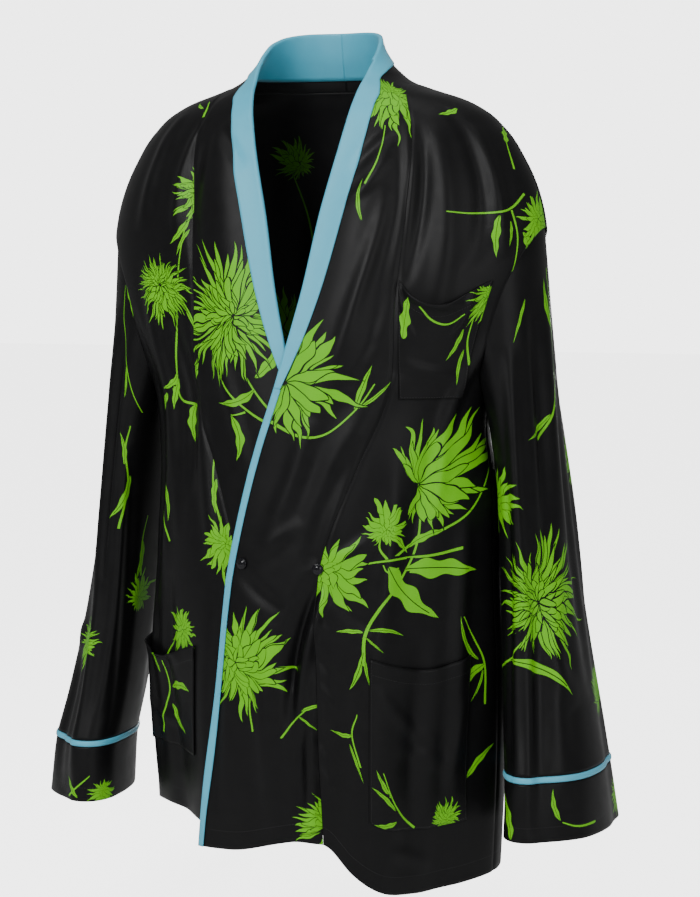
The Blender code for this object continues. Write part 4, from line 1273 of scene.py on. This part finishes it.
def flower_group():
    """A flower head of pointed petals in rings, each outlined where it lies on another."""
    wiring, given, result = new_group("flower head", MOTIF_INPUTS, MOTIF_OUTPUTS)
    math_of = wiring.math
    x, y, seed = wiring.parts(given["Place"])
    line = given["Line"]
    kind = math_of("FRACT", seed)
    number = math_of("FLOOR", seed)
    other = math_of("ADD", number, 0.5)
    drift_x = wiring.noise(wiring.vector(x, y, number), PETAL_DRIFT_SCALE, 1.0)
    drift_y = wiring.noise(wiring.vector(y, x, other), PETAL_DRIFT_SCALE, 1.0)
    x = math_of("MULTIPLY_ADD", math_of("SUBTRACT", drift_x, 0.5), PETAL_DRIFT, x)
    y = math_of("MULTIPLY_ADD", math_of("SUBTRACT", drift_y, 0.5), PETAL_DRIFT, y)
    is_star = math_of("GREATER_THAN", kind, STAR_FROM)
    is_fan = math_of("SUBTRACT", math_of("GREATER_THAN", kind, FAN_FROM), is_star)
    crowding = wiring.mix(math_of("GREATER_THAN", kind, BALL_FROM), DENSE_PETALS, 1.0)
    radius = math_of("SQRT", math_of("ADD", math_of("MULTIPLY", x, x), math_of("MULTIPLY", y, y)))
    angle = math_of("ARCTAN2", y, x)
    wider = math_of("MULTIPLY_ADD", is_star, STAR_PETAL_WIDER, 1.0)
    wider = math_of("MULTIPLY_ADD", is_fan, FAN_PETAL_WIDER, wider)
    wider = math_of("DIVIDE", wider, crowding)
    fill, ink = 0.0, 0.0
    for index, (count, length, half_width, tip_power, in_fan, in_star) in enumerate(RINGS):
        petals = math_of("ROUND", math_of("MULTIPLY", crowding, float(count)))
        spread = math_of("DIVIDE", math.tau, petals)
        phase = math_of("MULTIPLY", number, RING_TURN + RING_TURN_STEP * index)
        sector = math_of("ADD", math_of("DIVIDE", angle, spread), phase)
        petal = math_of("FLOORED_MODULO", math_of("FLOOR", sector), petals)
        shorter, wander, hook = wiring.random(wiring.vector(petal, float(index), number))
        aim = math_of("SUBTRACT", math_of("FRACT", sector), 0.5)
        wander = math_of("SUBTRACT", wander, 0.5)
        aim = math_of("MULTIPLY_ADD", wander, PETAL_WANDER, aim)
        tilt = math_of("MULTIPLY", aim, spread)
        reach = math_of("MULTIPLY_ADD", shorter, -PETAL_SHORTER * length, length)
        along = math_of("DIVIDE", math_of("MULTIPLY", radius, math_of("COSINE", tilt)), reach)
        along = math_of("MINIMUM", math_of("MAXIMUM", along, 0.0), 1.0)
        bend = math_of("MULTIPLY", math_of("MULTIPLY", along, along), math_of("SUBTRACT", hook, 0.5))
        bend = math_of("MULTIPLY", bend, PETAL_HOOK * half_width * 2)
        aside = math_of("MULTIPLY_ADD", radius, math_of("SINE", tilt), bend)
        aside = math_of("ABSOLUTE", aside)
        base = math_of("POWER", along, PETAL_BASE_POWER)
        tip = math_of("POWER", math_of("SUBTRACT", 1.0, along), tip_power)
        widest = PETAL_BASE_POWER / (PETAL_BASE_POWER + tip_power)
        fullness = half_width / (widest**PETAL_BASE_POWER * (1 - widest) ** tip_power)
        half = math_of("MULTIPLY", math_of("MULTIPLY", base, tip), fullness)
        half = math_of("MULTIPLY", half, math_of("MULTIPLY_ADD", hook, -PETAL_NARROWER, 1.0))
        half = math_of("MULTIPLY", half, wider)
        room = math_of("SUBTRACT", half, aside)
        if in_fan:
            middle = math_of("ADD", math_of("FLOOR", sector), 0.5)
            middle = math_of("MULTIPLY", math_of("SUBTRACT", middle, phase), spread)
            behind = math_of("GREATER_THAN", math_of("SINE", middle), FAN_BACK)
            room = math_of("SUBTRACT", room, math_of("MULTIPLY", is_fan, behind))
        else:
            room = math_of("SUBTRACT", room, is_fan)
        if not in_star:
            room = math_of("SUBTRACT", room, is_star)
        petal_fill = math_of("GREATER_THAN", room, 0.0)
        from_middle = math_of("ABSOLUTE", math_of("SUBTRACT", math_of("FRACT", sector), 0.5))
        to_next = math_of("SUBTRACT", 0.5, from_middle)
        to_next = math_of("MULTIPLY", math_of("MULTIPLY", to_next, spread), radius)
        inside = math_of("MINIMUM", room, math_of("MULTIPLY", to_next, 2.0))
        petal_ink = math_of("GREATER_THAN", inside, line)
        fill = math_of("MAXIMUM", fill, petal_fill)
        ink = wiring.mix(petal_fill, ink, petal_ink)
    wiring.feed(result["Fill"], fill)
    wiring.feed(result["Ink"], ink)
    return wiring.tree


LEAF_BASE_POWER = 0.70
LEAF_TIP_POWER = 1.10
LEAF_FULLNESS = 1.95
LEAF_LOBES = 2.6
LEAF_LOBE_DEPTH = 0.66
LEAF_LOBE_SHIFT = 1.7
LEAF_SIDE_SHIFT = 0.9
LEAF_LINE_SHARE = 0.5
LEAF_RIB_END = 0.86


def leaf_group():
    """A pointed leaf with shallow lobes and a dark midrib."""
    wiring, given, result = new_group("leaf", MOTIF_INPUTS, MOTIF_OUTPUTS)
    math_of = wiring.math
    x, y, seed = wiring.parts(given["Place"])
    breadth = math_of("FRACT", seed)
    number = math_of("FLOOR", seed)
    along = math_of("MINIMUM", math_of("MAXIMUM", x, 0.0), 1.0)
    side = math_of("SIGN", y)
    shift = math_of("MULTIPLY", number, LEAF_LOBE_SHIFT)
    wave = math_of("MULTIPLY_ADD", along, LEAF_LOBES * math.tau, shift)
    wave = math_of("SINE", math_of("MULTIPLY_ADD", side, LEAF_SIDE_SHIFT, wave))
    lobes = math_of("MULTIPLY", wave, math_of("MULTIPLY", breadth, LEAF_LOBE_DEPTH))
    base = math_of("POWER", along, LEAF_BASE_POWER)
    tip = math_of("POWER", math_of("SUBTRACT", 1.0, along), LEAF_TIP_POWER)
    widest = math_of("MULTIPLY", breadth, LEAF_FULLNESS / 2)
    half = math_of("MULTIPLY", math_of("MULTIPLY", base, tip), widest)
    half = math_of("MULTIPLY", half, math_of("ADD", 1.0, lobes))
    aside = math_of("ABSOLUTE", y)
    fill = math_of("GREATER_THAN", math_of("SUBTRACT", half, aside), 0.0)
    rib = math_of("LESS_THAN", aside, math_of("MULTIPLY", given["Line"], LEAF_LINE_SHARE))
    rib = math_of("MULTIPLY", rib, math_of("LESS_THAN", along, LEAF_RIB_END))
    wiring.feed(result["Fill"], fill)
    wiring.feed(result["Ink"], math_of("MULTIPLY", fill, math_of("SUBTRACT", 1.0, rib)))
    return wiring.tree


STEM_TAPER = 0.55


def print_group():
    """Where the print's ink lies: flowers over leaves over stems."""
    wiring, given, result = new_group(
        "flower print",
        (
            ("Flower", "NodeSocketVector"),
            ("Leaf", "NodeSocketVector"),
            ("Stem", "NodeSocketVector"),
            ("Line", "NodeSocketFloat"),
        ),
        ("Ink",),
    )
    math_of = wiring.math
    along, beside, half_width = wiring.parts(given["Stem"])
    half_width = math_of("MULTIPLY", half_width, math_of("MULTIPLY_ADD", along, -STEM_TAPER, 1.0))
    stem = math_of("LESS_THAN", math_of("ABSOLUTE", beside), half_width)
    stem = math_of("MULTIPLY", stem, math_of("GREATER_THAN", along, 0.0))
    stem = math_of("MULTIPLY", stem, math_of("LESS_THAN", along, 1.0))
    leaf = wiring.group(leaf_group(), Place=given["Leaf"], Line=given["Line"])
    flower = wiring.group(flower_group(), Place=given["Flower"], Line=given["Line"])
    ink = wiring.mix(leaf["Fill"], stem, leaf["Ink"])
    ink = wiring.mix(flower["Fill"], ink, flower["Ink"])
    wiring.feed(result["Ink"], ink)
    return wiring.tree


TWILL_PITCH = 0.00055
CREPE_SCALE = 2600.0
CREPE_DETAIL = 1.0
TWILL_SHARE = 0.25
CLOUD_SCALE = 55.0
CLOUD_DETAIL = 3.0


def weave_group():
    """A fine twill with an uneven thread, for the bump and the tone of silk."""
    wiring, given, result = new_group(
        "silk weave", (("Flat", "NodeSocketVector"), ("Place", "NodeSocketVector")), ("Height", "Cloud")
    )
    math_of = wiring.math
    x, y, _ = wiring.parts(given["Flat"])
    ridge = math_of("SINE", math_of("MULTIPLY", math_of("ADD", x, y), math.tau / TWILL_PITCH))
    grain = wiring.noise(given["Place"], CREPE_SCALE, CREPE_DETAIL)
    height = math_of("MULTIPLY_ADD", ridge, TWILL_SHARE, grain)
    wiring.feed(result["Height"], height)
    wiring.feed(result["Cloud"], wiring.noise(given["Place"], CLOUD_SCALE, CLOUD_DETAIL))
    return wiring.tree


def new_material(name):
    material = bpy.data.materials.new(name)
    material.use_nodes = True
    wiring = Wiring(material.node_tree)
    return material, wiring, material.node_tree.nodes["Principled BSDF"].inputs


def attribute(wiring, name):
    return wiring.node("ShaderNodeAttribute", attribute_name=name).outputs["Vector"]


def object_place(wiring):
    return wiring.node("ShaderNodeTexCoord").outputs["Object"]


def bump(wiring, height, distance):
    made = wiring.node("ShaderNodeBump")
    wiring.feed(made.inputs["Height"], height)
    made.inputs["Distance"].default_value = distance
    made.inputs["Strength"].default_value = 1.0
    return made.outputs["Normal"]


SILK_BLACK = (0.0030, 0.0030, 0.0032, 1.0)
SILK_BLACK_WORN = (0.0050, 0.0050, 0.0053, 1.0)
REVERSE_BLACK = (0.0075, 0.0075, 0.0080, 1.0)
REVERSE_BLACK_WORN = (0.0120, 0.0120, 0.0125, 1.0)
REVERSE_INK = 0.35
INK_GREEN = (0.105, 0.420, 0.004, 1.0)
INK_GREEN_PALE = (0.140, 0.480, 0.007, 1.0)
INK_LINE = 0.011
SILK_GRAIN = 0.00003
THREAD_BLACK = (0.006, 0.006, 0.006, 1.0)
THREAD_GREY = (0.020, 0.020, 0.021, 1.0)
THREAD_SCALE = 1500.0
TRIM_BLUE = (0.050, 0.370, 0.530, 1.0)
TRIM_BLUE_PALE = (0.075, 0.430, 0.590, 1.0)
BUTTON_BLACK = (0.003, 0.003, 0.004, 1.0)
BUTTON_BLACK_PALE = (0.008, 0.008, 0.010, 1.0)

# Roughness where the tone is darkest, and how much is added where it is palest
SILK_ROUGHNESS = 0.32
SILK_ROUGHNESS_ADDED = 0.16
SILK_SPECULAR = 0.13
TRIM_ROUGHNESS = 0.42
TRIM_ROUGHNESS_ADDED = 0.15
TRIM_SHEEN = 0.15
TRIM_SHEEN_ROUGHNESS = 0.4
BUTTON_ROUGHNESS = 0.06
BUTTON_ROUGHNESS_ADDED = 0.10
BUTTON_CLOUD_SCALE = 900.0
BUTTON_SPECULAR = 0.20
BUTTON_COAT = 0.05
BUTTON_COAT_ROUGHNESS = 0.05
THREAD_ROUGHNESS = 0.4
THREAD_ROUGHNESS_ADDED = 0.2


def woven(wiring, weave):
    """The weave's outputs on the piece's own flat map."""
    flat = wiring.node("ShaderNodeUVMap", uv_map="cloth").outputs[0]
    return wiring.group(weave, Flat=flat, Place=object_place(wiring))


def silk_material(name, weave, flowers, dark, pale, ink_share):
    """Printed silk. The ink's share is 1 on the right side and less where it shows through on the reverse."""
    material, wiring, shader = new_material(name)
    cloth = woven(wiring, weave)
    ink = wiring.group(
        flowers,
        Flower=attribute(wiring, "flower"),
        Leaf=attribute(wiring, "leaf"),
        Stem=attribute(wiring, "stem"),
        Line=INK_LINE,
    )["Ink"]
    green = wiring.blend(cloth["Cloud"], INK_GREEN, INK_GREEN_PALE)
    ground = wiring.blend(cloth["Cloud"], dark, pale)
    wiring.feed(shader["Base Color"], wiring.blend(wiring.math("MULTIPLY", ink, ink_share), ground, green))
    roughness = wiring.math("MULTIPLY_ADD", cloth["Cloud"], SILK_ROUGHNESS_ADDED, SILK_ROUGHNESS)
    wiring.feed(shader["Roughness"], roughness)
    wiring.feed(shader["Normal"], bump(wiring, cloth["Height"], SILK_GRAIN))
    shader["Specular IOR Level"].default_value = SILK_SPECULAR
    return material


def trim_material(weave):
    material, wiring, shader = new_material("pale blue silk")
    cloth = woven(wiring, weave)
    wiring.feed(shader["Base Color"], wiring.blend(cloth["Cloud"], TRIM_BLUE, TRIM_BLUE_PALE))
    roughness = wiring.math("MULTIPLY_ADD", cloth["Cloud"], TRIM_ROUGHNESS_ADDED, TRIM_ROUGHNESS)
    wiring.feed(shader["Roughness"], roughness)
    wiring.feed(shader["Normal"], bump(wiring, cloth["Height"], SILK_GRAIN))
    shader["Sheen Weight"].default_value = TRIM_SHEEN
    shader["Sheen Roughness"].default_value = TRIM_SHEEN_ROUGHNESS
    return material


def button_material():
    material, wiring, shader = new_material("polished black button")
    cloud = wiring.noise(object_place(wiring), BUTTON_CLOUD_SCALE)
    wiring.feed(shader["Base Color"], wiring.blend(cloud, BUTTON_BLACK, BUTTON_BLACK_PALE))
    roughness = wiring.math("MULTIPLY_ADD", cloud, BUTTON_ROUGHNESS_ADDED, BUTTON_ROUGHNESS)
    wiring.feed(shader["Roughness"], roughness)
    shader["Specular IOR Level"].default_value = BUTTON_SPECULAR
    shader["Coat Weight"].default_value = BUTTON_COAT
    shader["Coat Roughness"].default_value = BUTTON_COAT_ROUGHNESS
    return material


# Half section of a button, from the middle of its flat back to the top of its dome
BUTTON_PROFILE = (
    (0.0, 0.0),
    (0.0050, 0.0),
    (0.0059, 0.0004),
    (0.0062, 0.0010),
    (0.0060, 0.0017),
    (0.0053, 0.0021),
    (0.0050, 0.0020),
    (0.0044, 0.0024),
    (0.0030, 0.0032),
    (0.0015, 0.0035),
    (0.0, 0.0036),
)
BUTTON_SEGMENTS = 48
BUTTON_SEAT = 0.0006
BUTTON_PATCH_DEGREES = 2.0
BUTTON_PATCH_HEIGHT = 0.005


def make_button(name, sideways, height, material):
    """A small domed button with a fine groove inside its rim, square to the cloth of the left front."""
    steps = np.array([-1.0, 0.0, 1.0])
    angles, heights = np.meshgrid(
        angle_at(sideways, height) + BUTTON_PATCH_DEGREES * steps, height + BUTTON_PATCH_HEIGHT * steps
    )
    patch = form_point(angles, heights, lap_lift(1, angles, heights))
    axis = Vector(outward(patch)[1, 1])
    seat = Vector(patch[1, 1]) + axis * BUTTON_SEAT
    side_way = axis.orthogonal().normalized()
    shape = bmesh.new()
    points = [shape.verts.new(seat + side_way * radius + axis * rise) for radius, rise in BUTTON_PROFILE]
    edges = [shape.edges.new(pair) for pair in zip(points, points[1:])]
    bmesh.ops.spin(
        shape,
        geom=points + edges,
        cent=seat,
        axis=axis,
        angle=math.tau,
        steps=BUTTON_SEGMENTS,
        use_merge=True,
    )
    bmesh.ops.remove_doubles(shape, verts=shape.verts, dist=MERGE_DISTANCE)
    bmesh.ops.recalc_face_normals(shape, faces=shape.faces)
    mesh = bpy.data.meshes.new(name)
    shape.to_mesh(mesh)
    shape.free()
    mesh.shade_smooth()
    mesh.materials.append(material)
    return add_object(name, mesh)


def place_piece(piece, node):
    """Puts a finished piece on the jacket in place of its solid."""
    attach(piece, "root")
    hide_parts(node)


def make_cloth(node, grid, thickness, materials, ring=False, middle=None):
    piece = cloth_shell(node, grid, thickness, materials, ring, middle)
    piece.name = node + "_cloth"
    place_piece(piece, node)
    return piece


def make_sheet(node, grid, thickness, materials, ring=False, middle=None):
    """A piece of cloth put on the jacket in place of its solid."""
    piece = make_cloth(node, grid, thickness, materials, ring, middle)


# Stitches: their size, their spacing, and how far the lines lie from the edges of the cloth
STITCH = (0.0022, 0.00034, 0.00022)
STITCH_PITCH = 0.0031
STITCH_SIDES = 6
STITCH_BELTS = 4
HEM_LINE = 0.020
CUFF_LINE = 0.016
POCKET_LINE = 0.0022
LINE_SAMPLES = 400


def thread_material():
    material, wiring, shader = new_material("black thread")
    twist = wiring.noise(object_place(wiring), THREAD_SCALE)
    wiring.feed(shader["Base Color"], wiring.blend(twist, THREAD_BLACK, THREAD_GREY))
    roughness = wiring.math("MULTIPLY_ADD", twist, THREAD_ROUGHNESS_ADDED, THREAD_ROUGHNESS)
    wiring.feed(shader["Roughness"], roughness)
    return material


def stitch_shape():
    """The points and faces of one stitch: a small pulled ball of thread that lies along +X."""
    ball = bmesh.new()
    bmesh.ops.create_uvsphere(ball, u_segments=STITCH_SIDES, v_segments=STITCH_BELTS, radius=0.5)
    points = np.array([point.co for point in ball.verts]) * STITCH
    faces = [[point.index for point in face.verts] for face in ball.faces]
    ball.free()
    return points, faces


def stitch_places(grid, rows, columns):
    """Middles, directions and normals of the stitches along a line on a grid."""
    line = on_grid(grid, rows, columns)
    normals = on_grid(outward(grid), rows, columns)
    travelled = travelled_along(line)
    middles = np.arange(STITCH_PITCH / 2, travelled[-1], STITCH_PITCH)

    def at(values, places):
        return np.stack([np.interp(places, travelled, values[:, axis]) for axis in range(3)], axis=-1)

    ahead = at(line, middles + STITCH_PITCH / 4) - at(line, middles - STITCH_PITCH / 4)
    return at(line, middles), ahead, at(normals, middles)


def make_stitches(name, lines, material):
    """All stitches of one piece as one mesh."""
    shape, faces = stitch_shape()
    middles, ahead, normal = (np.concatenate(parts) for parts in zip(*lines))
    ahead /= np.linalg.norm(ahead, axis=-1, keepdims=True)
    aside = np.cross(normal, ahead)
    aside /= np.linalg.norm(aside, axis=-1, keepdims=True)
    turns = np.stack([ahead, aside, np.cross(ahead, aside)], axis=1)
    points = middles[:, None, :] + np.einsum("pk,skx->spx", shape, turns)
    first = len(shape) * np.arange(len(middles))
    mesh = bpy.data.meshes.new(name)
    joined = [[int(start + at) for at in face] for start in first for face in faces]
    mesh.from_pydata(points.reshape(-1, 3), [], joined)
    mesh.shade_smooth()
    mesh.materials.append(material)
    piece = add_object(name, mesh)
    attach(piece, "root")


def hem_stitches(grid, height):
    """A line round a hem at a height above its edge."""
    columns = np.linspace(0.0, grid.shape[1] - 1.0, LINE_SAMPLES)
    travelled = travelled_along(grid[:, grid.shape[1] // 2])
    return stitch_places(grid, row_at(travelled, height), columns)


def pocket_stitches(grid):
    """Lines inside a pocket's two sides and bottom, and under the hem of its open top."""
    top, far = (count - 1.0 for count in grid.shape[:2])
    high = np.linalg.norm(grid[-1, 0] - grid[0, 0])
    wide = np.linalg.norm(grid[0, -1] - grid[0, 0])
    inset_row = POCKET_LINE / high * top
    inset_column = POCKET_LINE / wide * far
    hem_row = (1 - POCKET_HEM / high) * top
    up = np.linspace(inset_row, top, LINE_SAMPLES)
    across = np.linspace(inset_column, far - inset_column, LINE_SAMPLES)
    return [
        stitch_places(grid, up, inset_column),
        stitch_places(grid, up, far - inset_column),
        stitch_places(grid, inset_row, across),
        stitch_places(grid, hem_row, across),
    ]


def make_sewing():
    thread = thread_material()
    hems = [hem_stitches(back_grid(), HEM_LINE)]
    for side in (1, -1):
        hems.append(hem_stitches(columns_round(side, front_grid(side)), HEM_LINE))
        hems.append(hem_stitches(columns_round(side, band_grid(side)), HEM_LINE))
        hems.append(hem_stitches(cuff_grid(side), CUFF_LINE))
    make_stitches("hem_stitches", hems, thread)
    for name, *sizes in POCKETS:
        make_stitches(name + "_stitches", pocket_stitches(pocket_grid(name, *sizes)), thread)


def make_jacket():
    weave = weave_group()
    flowers = print_group()
    silk = (
        silk_material("printed silk", weave, flowers, SILK_BLACK, SILK_BLACK_WORN, 1.0),
        silk_material("silk reverse", weave, flowers, REVERSE_BLACK, REVERSE_BLACK_WORN, REVERSE_INK),
    )
    blue = (trim_material(weave),)
    black = button_material()
    make_sheet("back", back_grid(), CLOTH, silk)
    for word, side in (("left", 1), ("right", -1)):
        front = columns_round(side, front_grid(side))
        make_sheet(f"front_{word}", front, CLOTH, silk, middle=front_middle(side))
        make_sheet(f"band_{word}", columns_round(side, band_grid(side)), CLOTH, silk)
        make_sheet(f"facing_{word}", facing_grid(side), TRIM_CLOTH, blue)
        make_sheet(f"sleeve_{word}", sleeve_grid(side), CLOTH, silk, ring=True)
        piping = make_cloth(f"cuff_piping_{word}", cuff_piping_grid(side), CLOTH, blue, ring=True)
        make_sheet(f"cuff_{word}", cuff_grid(side), CLOTH, silk, ring=True)
    make_sheet("piping_left", piping_grid(1), TRIM_CLOTH, blue)
    for name, *sizes in POCKETS:
        make_sheet(name, pocket_grid(name, *sizes), POCKET_CLOTH, silk)
    for name, sideways, height in BUTTONS:
        button = make_button(name, sideways, height, black)
        button.name = name + "_polished"
        place_piece(button, name)
    make_sewing()


# Camera at the photo's angle, with its lens worked out for a picture 897 pixels high
CAMERA_TURN = 20.0
CAMERA_DISTANCE = 2.5
CAMERA_HEIGHT = -0.20
CAMERA_ASIDE = 0.032
CAMERA_AIM_HEIGHT = -0.425
CAMERA_FOCAL_PIXELS = 2200.0
PICTURE_HEIGHT = 897.0
SENSOR = 36.0


def make_camera():
    turn = math.radians(CAMERA_TURN)
    aside = Vector((math.cos(turn), math.sin(turn), 0.0)) * CAMERA_ASIDE
    stand = Vector((math.sin(turn), -math.cos(turn), 0.0)) * CAMERA_DISTANCE
    place = stand + aside + Vector((0.0, 0.0, CAMERA_HEIGHT))
    aim = aside + Vector((0.0, 0.0, CAMERA_AIM_HEIGHT))
    data = bpy.data.cameras.new("camera")
    data.sensor_fit = "VERTICAL"
    data.sensor_height = SENSOR
    data.lens = CAMERA_FOCAL_PIXELS / PICTURE_HEIGHT * SENSOR
    camera = add_object("camera", data)
    camera.location = place
    camera.rotation_euler = (aim - place).to_track_quat("-Z", "Y").to_euler()
    bpy.context.scene.camera = camera


# Soft lamps: place, aim, width, height, power, and the spread of the beam in degrees
# Columns: name, place, aim, width, height, power, spread
LAMPS = (
    ("key", (-0.5, -3.0, 1.3), (0.0, 0.0, -0.35), 1.2, 1.0, 80.0, 180.0),
    ("fill", (2.2, -2.0, 0.3), (0.0, 0.0, -0.45), 1.0, 1.6, 22.0, 180.0),
    ("top", (0.2, -0.6, 2.2), (0.0, 0.0, -0.3), 1.6, 1.6, 22.0, 180.0),
    ("back", (-0.8, 3.0, -0.1), (0.0, 0.0, -0.42), 1.6, 1.2, 8.0, 50.0),
)
WORLD_LIGHT = (1.0, 1.0, 1.0, 1.0)
WORLD_STRENGTH = 0.36
BACKDROP_GLOW = 4.0
FLOOR_GLOW = 3.6
FLOOR_HEIGHT = -1.02
FLOOR_SIZE = 30.0
FLOOR_WHITE = (0.92, 0.92, 0.92, 1.0)
FLOOR_ROUGHNESS = 0.9


def seen_directly(wiring):
    """1 where the white surroundings are looked at, 0 where they light the jacket."""
    return wiring.node("ShaderNodeLightPath").outputs["Is Camera Ray"]


def make_light():
    for name, place, aim, width, height, power, spread in LAMPS:
        data = bpy.data.lights.new(name, "AREA")
        data.shape = "RECTANGLE"
        data.size = width
        data.size_y = height
        data.energy = power
        data.spread = math.radians(spread)
        lamp = add_object(name, data)
        lamp.location = place
        lamp.rotation_euler = (Vector(aim) - Vector(place)).to_track_quat("-Z", "Y").to_euler()
    world = bpy.data.worlds.new("studio")
    world.use_nodes = True
    sky = world.node_tree.nodes["Background"].inputs
    sky["Color"].default_value = WORLD_LIGHT
    wiring = Wiring(world.node_tree)
    wiring.feed(sky["Strength"], wiring.mix(seen_directly(wiring), WORLD_STRENGTH, BACKDROP_GLOW))
    bpy.context.scene.world = world


def make_floor():
    shape = bmesh.new()
    bmesh.ops.create_grid(shape, x_segments=1, y_segments=1, size=FLOOR_SIZE / 2)
    bmesh.ops.translate(shape, verts=shape.verts, vec=(0.0, 0.0, FLOOR_HEIGHT))
    mesh = bpy.data.meshes.new("floor")
    shape.to_mesh(mesh)
    shape.free()
    material, wiring, shader = new_material("pale floor")
    shader["Base Color"].default_value = FLOOR_WHITE
    shader["Roughness"].default_value = FLOOR_ROUGHNESS
    shader["Emission Color"].default_value = FLOOR_WHITE
    wiring.feed(shader["Emission Strength"], wiring.math("MULTIPLY", seen_directly(wiring), FLOOR_GLOW))
    mesh.materials.append(material)
    floor = add_object("floor", mesh)


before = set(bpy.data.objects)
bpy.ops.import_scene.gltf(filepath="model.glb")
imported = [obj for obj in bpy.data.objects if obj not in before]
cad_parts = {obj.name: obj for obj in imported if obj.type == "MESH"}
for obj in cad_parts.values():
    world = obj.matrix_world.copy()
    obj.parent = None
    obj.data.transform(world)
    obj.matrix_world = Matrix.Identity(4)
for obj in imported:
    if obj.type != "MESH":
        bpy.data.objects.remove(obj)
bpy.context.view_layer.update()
make_camera()
make_light()
make_floor()
make_jacket()
